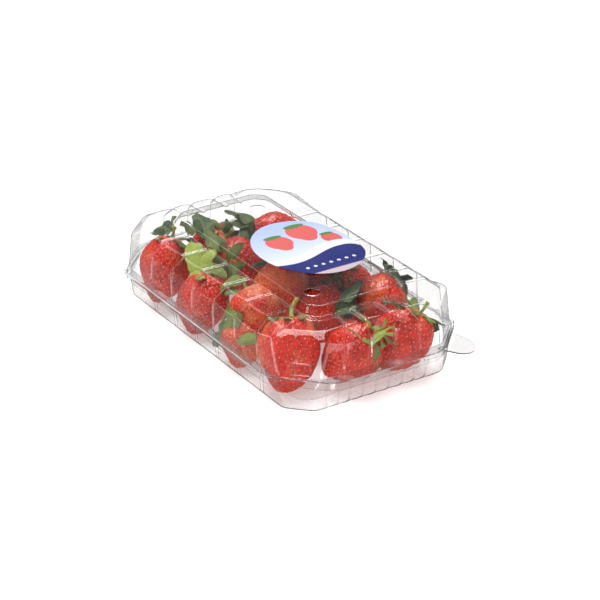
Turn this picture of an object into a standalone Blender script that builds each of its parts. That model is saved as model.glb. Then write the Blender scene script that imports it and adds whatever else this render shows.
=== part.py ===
"""A shut clear plastic clamshell punnet filled with strawberries.

Metres, +Z up. X runs along the punnet, Y across it, and the origin is the middle of the
footprint on the table. The tray stands on a foot ring. The lid sits on the tray's rim, hinges
along the near long side (-Y) and opens upwards. An oval label lies on the lid's raised panel.
"""
import math
import random

import bmesh
import bpy
from mathutils import Matrix, Vector

MM = 0.001
GAP = 0.3 * MM                      # between neighbouring pieces
WALL = 0.5 * MM                     # moulded film

# Heights above the table
Z_FLOOR = 1.5 * MM                  # underside of the tray's raised floor
Z_FLUTE_LOW = 2.0 * MM              # where the tray's flutes are deepest
Z_FLUTE_TOP = 13.3 * MM             # top of the flutes
Z_RIM_LOW = 14.8 * MM               # lower edge of the tray's turned-down rim
Z_TRAY_RIM = 18.9 * MM              # top of the tray's rim
Z_LID_LIP = 17.2 * MM               # lower edge of the lid's lip
Z_LID_RIM = 19.7 * MM               # top of the lid's rim
Z_SHOULDER = 36.6 * MM              # where the lid's walls lean inwards
Z_RING = 42.5 * MM                  # flat ring round the lid's panel
Z_PANEL = 47.0 * MM                 # raised panel

# Half sizes in plan, long way and short way, and the corner cuts
RIM_HX, RIM_HY, RIM_CUT = 97.8 * MM, 57.8 * MM, 25.0 * MM
WALL_HX, WALL_HY, WALL_CUT = 90.7 * MM, 53.0 * MM, 16.0 * MM
FOOT_HX, FOOT_HY, FOOT_CUT = 88.6 * MM, 50.8 * MM, 11.5 * MM
RING_HX, RING_HY, RING_CUT = 84.9 * MM, 45.2 * MM, 12.5 * MM
PANEL_HX, PANEL_HY, PANEL_CUT = 69.5 * MM, 28.8 * MM, 5.5 * MM
FOOT_RING = 10.0 * MM               # width of the ring that the tray stands on
FOOT_ROUND = 1.2 * MM               # how far the tray's walls turn in above the ring
FLOOR_CUT = 6.0 * MM                # corner cut of the raised floor
TRAY_INSET_X, TRAY_INSET_Y = 0.8 * MM, 1.1 * MM     # tray's rim inside the lid's
NEST = 1.0 * MM                     # tray's wall inside the lid's, at the rim
DRAFT, DRAFT_Y = 0.8 * MM, 0.5 * MM     # how far the walls lean in from end to end
SLOPE = 1.0 * MM                    # how far the panel's edge and the floor's edge lean

# Corners of the outlines are rounded over this reach
RIM_REACH, WALL_REACH, FOOT_REACH, PANEL_REACH = 6 * MM, 4 * MM, 3 * MM, 2.8 * MM

# Stiffening grooves, which run up the lid's walls and over its ring
PITCH = 21.2 * MM
GROOVE_HALF = 1.4 * MM
GROOVE_DEPTH = 1.2 * MM
NEAR_GROOVES = [-48.8 * MM + k * PITCH for k in range(6)]
FAR_GROOVES = [-38.4 * MM + k * PITCH for k in range(6)]
END_PITCH = 14.5 * MM
END_GROOVES = [(k - 1.5) * END_PITCH for k in range(4)]
RING_GROOVE = 0.7                   # share of the depth that a groove keeps on the ring
BULGE = 0.8 * MM                    # outward crown of each bay between two grooves
FLUTE_PITCH = 8.0 * MM              # fluted short walls of the tray
FLUTE_DEPTH = 1.6 * MM
FLUTE_TOP_SHARE = 0.6               # share of the depth that a flute has at its top
FLUTED_HALF = 36.0 * MM
LONG_RIB_DEPTH = 0.6 * MM           # plainer ribs of the tray's long walls

# Along each side the stations keep their places up to the first number, and those out to the
# second are drawn in to fit the corners
LONG_RUN, END_RUN, FLUTED_RUN = (52 * MM, 70 * MM), (10 * MM, 30 * MM), (16 * MM, 38 * MM)

# Two round vents through the lid's panel
VENT_R = 4.2 * MM
VENTS = [(53.0 * MM, -17.5 * MM), (-49.5 * MM, 14.0 * MM)]

# Hinge along the near rim
HINGE_Y = -RIM_HY
HINGE_Z = (Z_LID_RIM - WALL + Z_TRAY_RIM) / 2
HINGE_R = 0.7 * MM
HINGE_HALF = 69.0 * MM
FLAT_LIP = 0.6 * MM                 # lip beside the hinge, below the lid's rim
LIP_CLEAR = 8.0 * MM                # how far the flat lip goes past the near corners

# Rounded tongue on the tray's rim, at the corner away from the hinge
TAB_WIDTH = 19.0 * MM
TAB_REACH = 14.0 * MM
TAB_THICK = 0.6 * MM
TAB_STRAIGHT = 4.0 * MM             # parallel part before the rounded end
TAB_ROOT, TAB_FLARE = 3.5 * MM, 1.15    # how far it goes into the rim, and widens there
TAB_LIFT = 0.7 * MM                 # above the rim's lower edge
TAB_DROOP = math.radians(12)

# Oval label, which reaches over the far edge of the panel
LABEL_AX, LABEL_AY = 34.5 * MM, 27.8 * MM
LABEL_AT = (7.5 * MM, 9.4 * MM)
LABEL_THICK = 0.3 * MM
LABEL_SIDES = 36
LABEL_RINGS = 4
LABEL_DROOP = 22.0                  # drop in metres for each square metre of overhang
LABEL_HOLD = 2.0 * MM               # how far inside the panel's edge the droop starts

# Strawberries: x, y, z of the middle, width, length (mm), the way the tip points (azimuth from
# +X and elevation, in degrees), and how many leaves its calyx has
BERRIES = [
    (-61, -38, 20, 27, 37, 300, -62, 3),
    (-21, -38, 15, 28, 34, 290, -60, 3),
    (20, -30, 24, 28, 30, 355, -42, 3),
    (57, -34, 19, 32, 38, 320, -68, 5),
    (72, -6, 18, 30, 35, 272, -40, 4),
    (73, 23, 18, 30, 36, 258, -52, 4),
    (8, -7, 25, 32, 37, 325, -22, 4),
    (3, 20, 18, 30, 34, 200, -30, 4),
    (33, 5, 18, 30, 34, 272, -18, 4),
    (37, 34, 19, 30, 34, 290, -32, 4),
    (-70, -2, 18, 27, 34, 200, -50, 3),
    (-42, -3, 21, 29, 34, 120, -22, 5),
    (-49, 26, 24, 32, 37, 82, -12, 3),
    (-16, 31, 19, 31, 35, 100, -40, 5),
    (12, 33, 17, 29, 34, 60, -45, 4),
    (24, -41, 12, 24, 26, 300, -50, 3),
]
BERRY_TAPER, BERRY_POINT = 0.28, 1.3    # how much and how evenly a berry narrows to its tip
CALYX_AT = 0.485                        # share of a berry's length above its middle
SEPAL_LONG, SEPAL_WIDE = (0.36, 0.46), 0.24         # shares of a berry's width
LEAF_THICK = 1.0 * MM
LEAF_FOLD = 0.25                        # drop of a leaf's edges, as a share of its width

# Larger leaves: where each starts and ends (x, y, z, mm), its width (mm), how far it arches as
# a share of its length, and its roll in degrees
LEAVES = [
    (-69.4, -28.7, 36, -81.2, -34.6, 33, 9, 0.30, -10),
    (-61, -18, 36, -75.3, -19, 38, 9, 0.12, 10),
    (-38.3, -15.9, 33, -63, -12.4, 38, 12, 0.10, 15),
    (-51.3, -15, 36, -78.5, -8.3, 39, 11, 0.12, -15),
    (-31.3, -34.2, 31, -51.5, -26.6, 37, 11, 0.12, 5),
    (-33.5, -33, 31, -39.2, -18.4, 35, 10, 0.12, 0),
    (-31.2, -31.8, 31, -16.6, -24.7, 28, 10, 0.15, 0),
    (-36.9, -34.3, 20, -42.2, -40.7, 13, 8, 0.10, 20),
    (-11.1, -31.7, 28, -5, -18.3, 31, 10, 0.15, 0),
    (-6.6, -32, 27, 4.4, -25.9, 27, 8, 0.10, 10),
    (-1.3, -9.5, 40, -9.5, -16.7, 34, 9, 0.15, 0),
    (-53.7, 16.9, 35, -72.2, 6.5, 39, 9, 0.08, 0),
    (-54, 15.8, 34, -65, 0.2, 36, 8, 0.05, 10),
    (-56.8, 13, 33, -46.7, 0.4, 28, 9, 0.10, -20),
    (23.5, -44.5, 31, 17.9, -47, 11.4, 9, 0.10, -80),
    (18, -45, 21, 5.6, -47, 4, 9, 0.08, -80),
    (25, -44, 22, 27.9, -46, 5.5, 9, 0.08, -80),
    (50.4, -15.3, 33, 51.4, -30.2, 33, 9, 0.10, 0),
    (46.7, 43.5, 26, 28.9, 43, 38, 11, 0.15, 20),
    (75.3, 23.7, 29, 65.8, 27.9, 34, 8, 0.10, 30),
    (75.7, 32.1, 28, 80.4, 42.1, 21, 9, 0.10, 20),
    (52.3, 1.6, 27, 45.4, 10.5, 37, 12, 0.10, 20),
    (49.4, 4.7, 34, 37.5, 23.9, 36, 8, 0.10, 0),
    (50.3, -0.1, 30, 56.3, 8, 32, 9, 0.10, 0),
]

# Fruit stays clear of the panel's edge, and starts to give way below the shoulder
CLEAR, EASE = 3.0 * MM, 2.0 * MM

# Low block under the fruit, which stands for the berries that nothing shows
CORE_SIZE = Vector((146, 72, 10)) * MM
CORE_LOW = 4.0 * MM


def rounded(before, corner, after, reach):
    """Three points that round off one vertex of an outline."""
    start = corner + (before - corner).normalized() * reach
    end = corner + (after - corner).normalized() * reach
    return [start, corner * 0.5 + start * 0.25 + end * 0.25, end]


def groove_stations(places):
    """Points along one side: (place, out) with out -1 in a groove, 0 beside it, 1 in mid bay."""
    points = []
    for index, place in enumerate(places):
        if index:
            points.append(((places[index - 1] + place) / 2, 1))
        points += [(place - GROOVE_HALF, 0), (place, -1), (place + GROOVE_HALF, 0)]
    return points


def rib_stations(places):
    """The grooves alone, for the tray's plainer walls."""
    return [point for point in groove_stations(places) if point[1] < 1]


def mirrored(places):
    """Places for the far side, which runs the other way round the outline."""
    return [-place for place in reversed(places)]


def flute_stations(half, pitch):
    """Crests and valleys along one side, starting and ending on a crest."""
    count = int(half / pitch) * 2
    return [((k - count / 2) * pitch, 0 if k % 2 == 0 else -1) for k in range(count + 1)]


def fit_along(place, keep, outer, limit):
    """Keep a place near the middle of a side, and draw the ends in to a shorter side."""
    if abs(place) <= keep:
        return place
    return math.copysign(keep + (abs(place) - keep) * (limit - keep) / (outer - keep), place)


def outline(level, sides):
    """One closed section, anticlockwise from above, with the same points at every level."""
    hx, hy, cut, reach = level["hx"], level["hy"], level["cut"], level["reach"]
    inward, down, bulge = level.get("inward", 0), level.get("down", 0), level.get("bulge", 0)
    z = level["z"]
    long_inward = level.get("long_inward", inward)
    turns = [("right", Vector((1, 0)), Vector((0, 1)), hx, hy - cut),
             ("far", Vector((0, 1)), Vector((-1, 0)), hy, hx - cut),
             ("left", Vector((-1, 0)), Vector((0, -1)), hx, hy - cut),
             ("near", Vector((0, -1)), Vector((1, 0)), hy, hx - cut)]
    points = []
    for index, (name, out, along, depth, half) in enumerate(turns):
        keep, outer, stations = sides[name]
        for place, push in stations:
            s = fit_along(place, keep, outer, half - reach * 1.2)
            depth_in = long_inward if name in ("near", "far") else inward
            offset = depth_in * push if push < 0 else bulge * push
            flat = out * (depth + offset) + along * s
            points.append(Vector((flat.x, flat.y, z + (down * push if push < 0 else 0))))
        following = turns[(index + 1) % 4]
        first = out * depth + along * half
        second = following[1] * following[3] - following[2] * following[4]
        before = first - along
        after = second + following[2]
        for flat in rounded(before, first, second, reach) + rounded(first, second, after, reach):
            points.append(Vector((flat.x, flat.y, z)))
    return points


def loft(name, rings, cap=True):
    """An open shell: one ring of edges, extruded from section to section and capped at the end."""
    bm = bmesh.new()
    verts = [bm.verts.new(point) for point in rings[0]]
    edges = [bm.edges.new((verts[k], verts[(k + 1) % len(verts)])) for k in range(len(verts))]
    for ring in rings[1:]:
        place = {vert: index for index, vert in enumerate(verts)}
        order = {tuple(vert.co): index for vert, index in place.items()}
        grown = bmesh.ops.extrude_edge_only(bm, edges=edges)["geom"]
        new = [item for item in grown if isinstance(item, bmesh.types.BMVert)]
        verts = [None] * len(ring)
        for vert in new:
            verts[order[tuple(vert.co)]] = vert
        for vert, point in zip(verts, ring):
            vert.co = point
        edges = [bm.edges.get((verts[k], verts[(k + 1) % len(verts)])) for k in range(len(verts))]
    if cap:
        bmesh.ops.contextual_create(bm, geom=edges)
    bmesh.ops.recalc_face_normals(bm, faces=bm.faces)
    mesh = bpy.data.meshes.new(name)
    bm.to_mesh(mesh)
    bm.free()
    return bpy.data.objects.new(name, mesh)


def film(obj, thickness, offset):
    """Give an open shell its wall."""
    wall = obj.modifiers.new("Wall", "SOLIDIFY")
    wall.thickness = thickness
    wall.offset = offset
    wall.use_even_offset = True


def material(name, colour, roughness, alpha=1.0):
    made = bpy.data.materials.new(name)
    made.use_nodes = True
    shader = made.node_tree.nodes["Principled BSDF"]
    shader.inputs["Base Color"].default_value = (*colour, 1.0)
    shader.inputs["Roughness"].default_value = roughness
    shader.inputs["Metallic"].default_value = 0.0
    shader.inputs["Alpha"].default_value = alpha
    made.diffuse_color = (*colour, alpha)
    return made


def make_tray(parts, cutters, clear):
    """Tray: turned-down rim, fluted walls, foot ring and raised floor, with a rounded tongue.

    The sections run along the film's upper face, and its wall goes below and outside them.
    """
    ends = flute_stations(FLUTED_HALF, FLUTE_PITCH / 2)
    sides = {
        "right": (*FLUTED_RUN, ends), "left": (*FLUTED_RUN, ends),
        "near": (*LONG_RUN, rib_stations(NEAR_GROOVES)),
        "far": (*LONG_RUN, rib_stations(mirrored(FAR_GROOVES))),
    }
    rim = {"hx": RIM_HX - TRAY_INSET_X, "hy": RIM_HY - TRAY_INSET_Y, "cut": RIM_CUT,
           "reach": RIM_REACH}

    def foot(inset, z, cut=FOOT_CUT, **more):
        return dict(hx=FOOT_HX - inset, hy=FOOT_HY - inset, cut=cut, reach=FOOT_REACH, z=z, **more)

    levels = [
        dict(rim, z=Z_RIM_LOW),
        dict(rim, z=Z_TRAY_RIM),
        dict(hx=WALL_HX - NEST, hy=WALL_HY - NEST, cut=WALL_CUT, reach=FOOT_REACH, z=Z_TRAY_RIM),
        foot(0, Z_FLUTE_TOP, inward=FLUTE_DEPTH * FLUTE_TOP_SHARE),
        foot(DRAFT, Z_FLUTE_LOW, inward=FLUTE_DEPTH, long_inward=LONG_RIB_DEPTH),
        foot(FLUTE_DEPTH + FOOT_ROUND, WALL),
        foot(FOOT_RING, WALL, cut=FLOOR_CUT),
        foot(FOOT_RING + SLOPE, Z_FLOOR + WALL, cut=FLOOR_CUT),
    ]
    tray = loft("tray", [outline(level, sides) for level in levels])
    film(tray, WALL, -1)
    tongue = make_tongue(cutters)
    join = tray.modifiers.new("Tongue", "BOOLEAN")
    join.operation = "UNION"
    join.object = tongue
    tray.data.materials.append(clear)
    parts.objects.link(tray)


def make_tongue(cutters):
    """Rounded tongue, drooping outwards from the rim's corner cut, as a guide for the tray."""
    half = TAB_WIDTH / 2
    bpy.ops.mesh.primitive_cylinder_add(vertices=28, radius=half, depth=TAB_THICK)
    tongue = bpy.context.object
    tongue.name = "tongue_shape"
    for vert in tongue.data.vertices:
        if vert.co.x > 0:
            vert.co.x = vert.co.x * (TAB_REACH - TAB_STRAIGHT) / half + TAB_STRAIGHT
        else:
            vert.co.x = -TAB_ROOT
            vert.co.y *= TAB_FLARE
    corner = Vector((RIM_HX - RIM_CUT / 2, RIM_HY - RIM_CUT / 2, Z_RIM_LOW + TAB_LIFT))
    turn = Matrix.Rotation(math.radians(45), 4, "Z") @ Matrix.Rotation(TAB_DROOP, 4, "Y")
    inset = Vector((TRAY_INSET_X, TRAY_INSET_X, 0))
    tongue.matrix_world = Matrix.Translation(corner - inset) @ turn
    shift_to(tongue, cutters)
    tongue.hide_render = True
    tongue.display_type = "WIRE"
    return tongue


def make_lid(parts, cutters, clear):
    """Lid: lip on three sides, rim, grooved walls, shoulder, ring and raised panel with vents."""
    ends = groove_stations(END_GROOVES)
    sides = {
        "right": (*END_RUN, ends), "left": (*END_RUN, ends),
        "near": (*LONG_RUN, groove_stations(NEAR_GROOVES)),
        "far": (*LONG_RUN, groove_stations(mirrored(FAR_GROOVES))),
    }
    rim = {"hx": RIM_HX, "hy": RIM_HY, "cut": RIM_CUT, "reach": RIM_REACH}
    wall = {"hx": WALL_HX, "hy": WALL_HY, "cut": WALL_CUT, "reach": WALL_REACH}
    panel = {"cut": PANEL_CUT, "reach": PANEL_REACH}
    levels = [
        dict(rim, z=Z_LID_LIP),
        dict(rim, z=Z_LID_RIM),
        dict(wall, z=Z_LID_RIM, inward=GROOVE_DEPTH),
        dict(wall, hx=WALL_HX - DRAFT, hy=WALL_HY - DRAFT_Y, z=Z_SHOULDER, inward=GROOVE_DEPTH,
             bulge=BULGE),
        dict(wall, hx=RING_HX, hy=RING_HY, cut=RING_CUT, z=Z_RING, bulge=BULGE,
             inward=GROOVE_DEPTH * RING_GROOVE, down=GROOVE_DEPTH * RING_GROOVE),
        dict(panel, hx=PANEL_HX + SLOPE, hy=PANEL_HY + SLOPE, z=Z_RING, down=GROOVE_DEPTH),
        dict(panel, hx=PANEL_HX - SLOPE, hy=PANEL_HY - SLOPE, z=Z_PANEL),
    ]
    rings = [outline(level, sides) for level in levels]
    open_hinge_side(rings)
    lid = loft("lid", rings)
    film(lid, WALL, -1)
    for index, (x, y) in enumerate(VENTS):
        bpy.ops.mesh.primitive_cylinder_add(vertices=24, radius=VENT_R, depth=6 * MM,
                                            location=(x, y, Z_PANEL))
        punch = bpy.context.object
        punch.name = "vent_punch_%d" % (index + 1)
        shift_to(punch, cutters)
        punch.hide_render = True
        punch.display_type = "WIRE"
        cut = lid.modifiers.new("Vent", "BOOLEAN")
        cut.operation = "DIFFERENCE"
        cut.object = punch
    lid.data.materials.append(clear)
    place_on_hinge(lid)
    parts.objects.link(lid)


def open_hinge_side(rings):
    """The lip stops short of the hinge: there the rim stays flat and clear of the hinge bead."""
    edge = HINGE_Y + HINGE_R + GAP
    flat = Z_LID_RIM - FLAT_LIP
    for ring in rings[:2]:
        for point in ring:
            if point.y < edge:
                point.y = edge
            if point.y < -RIM_HY + RIM_CUT + LIP_CLEAR:
                point.z = max(point.z, flat)


def place_on_hinge(obj):
    """Move the origin of the lid's mesh to the hinge axis."""
    axis = Vector((0, HINGE_Y, HINGE_Z))
    obj.data.transform(Matrix.Translation(-axis))
    obj.location = axis


def make_hinge(parts, clear):
    """Living hinge: a thin bead along the near rim, on the axis that the lid turns about."""
    bpy.ops.mesh.primitive_cylinder_add(vertices=16, radius=HINGE_R, depth=2 * HINGE_HALF,
                                        location=(0, HINGE_Y, HINGE_Z),
                                        rotation=(0, math.radians(90), 0))
    bead = bpy.context.object
    bead.name = "hinge"
    bead.data.materials.append(clear)
    shift_to(bead, parts)


def make_label(parts, paper):
    """Oval label on the panel, drooping a little where it reaches over the panel's far edge."""
    x, y = LABEL_AT
    rings = []
    for index in range(LABEL_RINGS):
        grow = 1 - index / LABEL_RINGS
        ring = []
        for side in range(LABEL_SIDES):
            turn = 2 * math.pi * side / LABEL_SIDES
            px = x + LABEL_AX * grow * math.cos(turn)
            py = y + LABEL_AY * grow * math.sin(turn)
            over = max(0.0, py - PANEL_HY + LABEL_HOLD)
            ring.append(Vector((px, py, Z_PANEL + GAP - LABEL_DROOP * over * over)))
        rings.append(ring)
    label = loft("label", rings)
    film(label, LABEL_THICK, 1)
    label.data.materials.append(paper)
    parts.objects.link(label)


def berry_shape(name, width, length, sides=9, bands=6):
    """One strawberry with few sides: tip down the -Z axis, shoulders up, middle at the origin."""
    bpy.ops.mesh.primitive_uv_sphere_add(segments=sides, ring_count=bands, radius=0.5)
    berry = bpy.context.object
    berry.name = name
    for vert in berry.data.vertices:
        height = vert.co.z * 2
        taper = 1.0 if height > 0.1 else 1.0 - BERRY_TAPER * (0.1 - height) ** BERRY_POINT
        vert.co.x *= width * taper
        vert.co.y *= width * taper
        vert.co.z *= length
    return berry


def leaf_shape(name, length, width, curl, arch=0.0):
    """One thin wavy leaf, growing along +X from the origin."""
    bpy.ops.mesh.primitive_grid_add(x_subdivisions=3, y_subdivisions=2, size=1.0)
    leaf = bpy.context.object
    leaf.name = name
    for vert in leaf.data.vertices:
        along = vert.co.x + 0.5
        swell = math.sin(math.pi * min(0.96, 0.12 + 0.88 * along)) ** 0.7
        side = vert.co.y
        vert.co.x = along * length
        vert.co.y = side * width * swell
        rise = curl * along * along + arch * math.sin(math.pi * along)
        vert.co.z = rise * length - abs(side) * width * LEAF_FOLD
    bm = bmesh.new()
    bm.from_mesh(leaf.data)
    bmesh.ops.triangulate(bm, faces=bm.faces)
    bm.to_mesh(leaf.data)
    bm.free()
    film(leaf, LEAF_THICK, 0)
    return leaf


def leaf_place(start, end, roll):
    """A frame whose +X runs from a leaf's start to its end, turned about that way by its roll."""
    along = (end - start).normalized()
    across = Vector((0, 0, 1)).cross(along).normalized()
    turn = Matrix((along, across, along.cross(across))).transposed().to_4x4()
    return Matrix.Translation(start) @ turn @ Matrix.Rotation(math.radians(roll), 4, "X")


def press_inside(obj, margin=0.0):
    """Bake a piece's place into its mesh, and press what would cross the film back inside it."""
    obj.data.transform(obj.matrix_world)
    obj.matrix_world = Matrix.Identity(4)
    inset = FLUTE_DEPTH + NEST + WALL + GAP + margin
    half_x, half_y = FOOT_HX - inset, FOOT_HY - inset
    corner = FOOT_HX + FOOT_HY - FOOT_CUT - inset * 1.5
    roof = WALL + GROOVE_DEPTH + GAP + margin
    for vert in obj.data.vertices:
        spot = vert.co
        lean = max(0.0, spot.z - Z_SHOULDER + EASE) * (WALL_HY - RING_HY) / (Z_RING - Z_SHOULDER)
        spot.x = max(-half_x, min(half_x, spot.x))
        spot.y = max(-half_y + lean, min(half_y - lean, spot.y))
        over = abs(spot.x) + abs(spot.y) - corner
        if over > 0:
            spot.x -= math.copysign(over / 2, spot.x)
            spot.y -= math.copysign(over / 2, spot.y)
        under_panel = abs(spot.x) < PANEL_HX - CLEAR and abs(spot.y) < PANEL_HY - CLEAR
        top = (Z_PANEL if under_panel else Z_RING) - roof
        spot.z = max(Z_FLOOR + WALL + GAP + margin, min(top, spot.z))


def keep_outer_skin(mesh):
    """Fill the hollows that fusing sealed, and drop loose scraps: only the largest skin stays."""
    bm = bmesh.new()
    bm.from_mesh(mesh)
    left = set(bm.faces)
    skins = []
    while left:
        skin, front = set(), [left.pop()]
        while front:
            face = front.pop()
            skin.add(face)
            for edge in face.edges:
                for other in edge.link_faces:
                    if other in left:
                        left.discard(other)
                        front.append(other)
        skins.append(skin)
    skins.sort(key=len)
    for skin in skins[:-1]:
        bmesh.ops.delete(bm, geom=list(skin), context="FACES")
    bm.to_mesh(mesh)
    bm.free()


def make_heap(parts, red):
    """Strawberries and their calyxes, fused on a low core that fills the gaps under them."""
    rng = random.Random(7)
    pieces = bpy.data.collections.new("heap_pieces")
    bpy.context.scene.collection.children.link(pieces)
    for index, (x, y, z, width, length, azimuth, elevation, sepals) in enumerate(BERRIES):
        berry = berry_shape("berry_%d" % index, width * MM, length * MM)
        azimuth, elevation = math.radians(azimuth), math.radians(elevation)
        pointing = Vector((math.cos(azimuth) * math.cos(elevation),
                           math.sin(azimuth) * math.cos(elevation), math.sin(elevation)))
        turn = Vector((0, 0, -1)).rotation_difference(pointing).to_matrix().to_4x4()
        spot = Matrix.Translation(Vector((x, y, z)) * MM) @ turn
        berry.matrix_world = spot
        press_inside(berry)
        shift_to(berry, pieces)
        calyx = spot @ Matrix.Translation((0, 0, length * CALYX_AT * MM))
        for blade in range(sepals):
            leaf = leaf_shape("sepal", rng.uniform(*SEPAL_LONG) * width * MM,
                              SEPAL_WIDE * width * MM, rng.uniform(-0.2, 0.15))
            turn = math.radians(360 * blade / sepals + rng.uniform(-9, 9))
            leaf.matrix_world = calyx @ Matrix.Rotation(turn, 4, "Z")
            press_inside(leaf, margin=LEAF_THICK / 2)
            shift_to(leaf, pieces)
    for *ends, width, arch, roll in LEAVES:
        start, end = Vector(ends[:3]) * MM, Vector(ends[3:]) * MM
        leaf = leaf_shape("leaf", (end - start).length, width * MM, 0.0, arch)
        leaf.matrix_world = leaf_place(start, end, roll)
        press_inside(leaf, margin=LEAF_THICK / 2)
        shift_to(leaf, pieces)
    bpy.ops.mesh.primitive_cube_add(size=1.0)
    heap = bpy.context.object
    heap.name = "strawberries"
    middle = Vector((0, 0, CORE_LOW + CORE_SIZE.z / 2))
    for vert in heap.data.vertices:
        vert.co = vert.co * CORE_SIZE + middle
    fuse = heap.modifiers.new("Fuse", "BOOLEAN")
    fuse.operation = "UNION"
    fuse.operand_type = "COLLECTION"
    fuse.collection = pieces
    fuse.solver = "MANIFOLD"
    bpy.context.view_layer.objects.active = heap
    bpy.ops.object.modifier_apply(modifier=fuse.name)
    keep_outer_skin(heap.data)
    for piece in list(pieces.objects):
        bpy.data.objects.remove(piece)
    bpy.data.collections.remove(pieces)
    heap.data.materials.append(red)
    shift_to(heap, parts)


def shift_to(obj, collection):
    """Put an object in one collection only."""
    for holder in list(obj.users_collection):
        holder.objects.unlink(obj)
    collection.objects.link(obj)


def main():
    for obj in list(bpy.data.objects):
        bpy.data.objects.remove(obj)
    parts = bpy.data.collections.new("strawberry_punnet")
    cutters = bpy.data.collections.new("cutters")
    for collection in (parts, cutters):
        bpy.context.scene.collection.children.link(collection)
    clear = material("clear_film", (0.92, 0.94, 0.94), 0.05, 0.25)
    paper = material("label_paper", (0.08, 0.10, 0.40), 0.35)
    red = material("strawberry_red", (0.60, 0.03, 0.02), 0.35)
    make_tray(parts, cutters, clear)
    make_lid(parts, cutters, clear)
    make_hinge(parts, clear)
    make_label(parts, paper)
    make_heap(parts, red)


main()
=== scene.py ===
"""Looks of a shut clear punnet of strawberries: film, label, fruit, leaves and studio."""

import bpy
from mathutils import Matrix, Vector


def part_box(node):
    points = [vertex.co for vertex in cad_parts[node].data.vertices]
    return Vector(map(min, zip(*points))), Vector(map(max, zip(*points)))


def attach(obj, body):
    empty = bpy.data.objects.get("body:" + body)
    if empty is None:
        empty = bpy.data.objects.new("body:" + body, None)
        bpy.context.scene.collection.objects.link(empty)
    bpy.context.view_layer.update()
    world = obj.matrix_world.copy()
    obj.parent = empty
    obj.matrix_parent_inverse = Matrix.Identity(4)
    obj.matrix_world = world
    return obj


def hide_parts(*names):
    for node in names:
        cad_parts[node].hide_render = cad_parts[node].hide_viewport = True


bl_info = {
    "name": "Strawberry Punnet",
    "version": (1, 0, 0),
    "blender": (4, 5, 0),
    "location": "View3D > Sidebar > Punnet",
    "description": "Builds a clear hinged punnet of strawberries round its packed frame",
    "category": "Object",
}

import math
import random
from collections import namedtuple

import bmesh
import bpy
from mathutils import Matrix, Vector, kdtree, noise

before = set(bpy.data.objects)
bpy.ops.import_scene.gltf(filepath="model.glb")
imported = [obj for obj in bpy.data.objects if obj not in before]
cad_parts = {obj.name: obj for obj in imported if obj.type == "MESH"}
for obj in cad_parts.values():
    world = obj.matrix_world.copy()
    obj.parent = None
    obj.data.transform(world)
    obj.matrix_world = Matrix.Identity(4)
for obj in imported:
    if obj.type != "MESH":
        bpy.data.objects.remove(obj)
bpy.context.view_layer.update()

MM = 0.001
GOLDEN_ANGLE = math.pi * (3 - math.sqrt(5))

# The camera, as the photograph was taken
CAMERA_PLACE = (0.83923, -0.53261, 0.50317)
CAMERA_TURN = (math.radians(90 - 26.111), 0.0, math.radians(57.138))
CAMERA_ANGLE = 2 * math.atan(300 / 2101.2)

# The overhead sun: towards it, and its spread in degrees. The side lamp: its place and size
SUN_WAY, SUN_SPREAD = (-0.35, 0.10, 1.0), 34
SIDE_PLACE, SIDE_SIZE = (0.1, -1.0, 0.55), 0.35

# Soft windows that the film and the fruit mirror: direction, half width in degrees, brightness
WINDOWS = [((-0.45, 0.36, 0.82), 11, 8.5), ((-0.76, 0.06, 0.65), 12, 2.0),
           ((0.50, 0.45, 0.74), 14, 1.5)]

# Brightness of the dim room that is mirrored besides them, and of the floor there
DIM = 0.22

# Glowing patches on the floor, which only the film mirrors, so that they paint highlights on it:
# middle and half sizes in plan, brightness
MIRROR_GLOW_PATCHES = [((0.0, -117 * MM), (95 * MM, 14 * MM), 2.5),
         ((143 * MM, -48 * MM), (24 * MM, 9 * MM), 10.0),
         ((168 * MM, 0.0), (14 * MM, 50 * MM), 1.8)]

# Heights of the film's upper face
Z_RIM_LOW, Z_TRAY_RIM = 14.8 * MM, 18.9 * MM
Z_LID_LIP, Z_LID_RIM = 17.2 * MM, 19.7 * MM
Z_SHOULDER, Z_FACET_TOP = 36.6 * MM, 39.6 * MM
Z_RING, Z_PANEL = 42.5 * MM, 47.0 * MM
Z_FLOOR = 1.5 * MM

# Half sizes in plan, corner cuts and how far each corner's bend reaches
RIM = {"hx": 97.8 * MM, "hy": 57.8 * MM, "cut": 25.0 * MM, "reach": 6 * MM}
WALL = {"hx": 90.7 * MM, "hy": 53.0 * MM, "cut": 16.0 * MM, "reach": 3 * MM}
SHOULDER = {"hx": 89.9 * MM, "hy": 52.5 * MM, "cut": 18.0 * MM, "reach": 3 * MM}
FOOT = {"hx": 88.6 * MM, "hy": 50.8 * MM, "cut": 11.5 * MM, "reach": 3 * MM}
RING = {"hx": 84.9 * MM, "hy": 45.2 * MM, "cut": 12.5 * MM, "reach": 7 * MM}
PANEL = {"hx": 69.5 * MM, "hy": 28.8 * MM, "cut": 5.5 * MM, "reach": 2.8 * MM}

# Grooves and flutes along the sides
NEAR_GROOVES = [(-48.8 + 21.2 * k) * MM for k in range(6)]
FAR_GROOVES = [(-38.4 + 21.2 * k) * MM for k in range(6)]
END_GROOVES = [(k - 1.5) * 14.5 * MM for k in range(4)]
GROOVE_SAMPLES = (-1.0, -0.85, -0.65, -0.45, -0.25, 0.0, 0.25, 0.45, 0.65, 0.85, 1.0)
BAY_SAMPLES = (0.2, 0.4, 0.6, 0.8)
FLUTE_PITCH, FLUTE_DEPTH, FLUTED_HALF = 8 * MM, 1.6 * MM, 36 * MM

# Radii of the bends between one section of a shell and the next
LID_BENDS = [radius * MM for radius in (0.7, 0.8, 1.4, 1.4, 1.0, 1.0)]
TRAY_BENDS = [radius * MM for radius in (0.7, 0.9, 1.8, 1.2, 0.8, 0.8, 0.5)]

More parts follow.
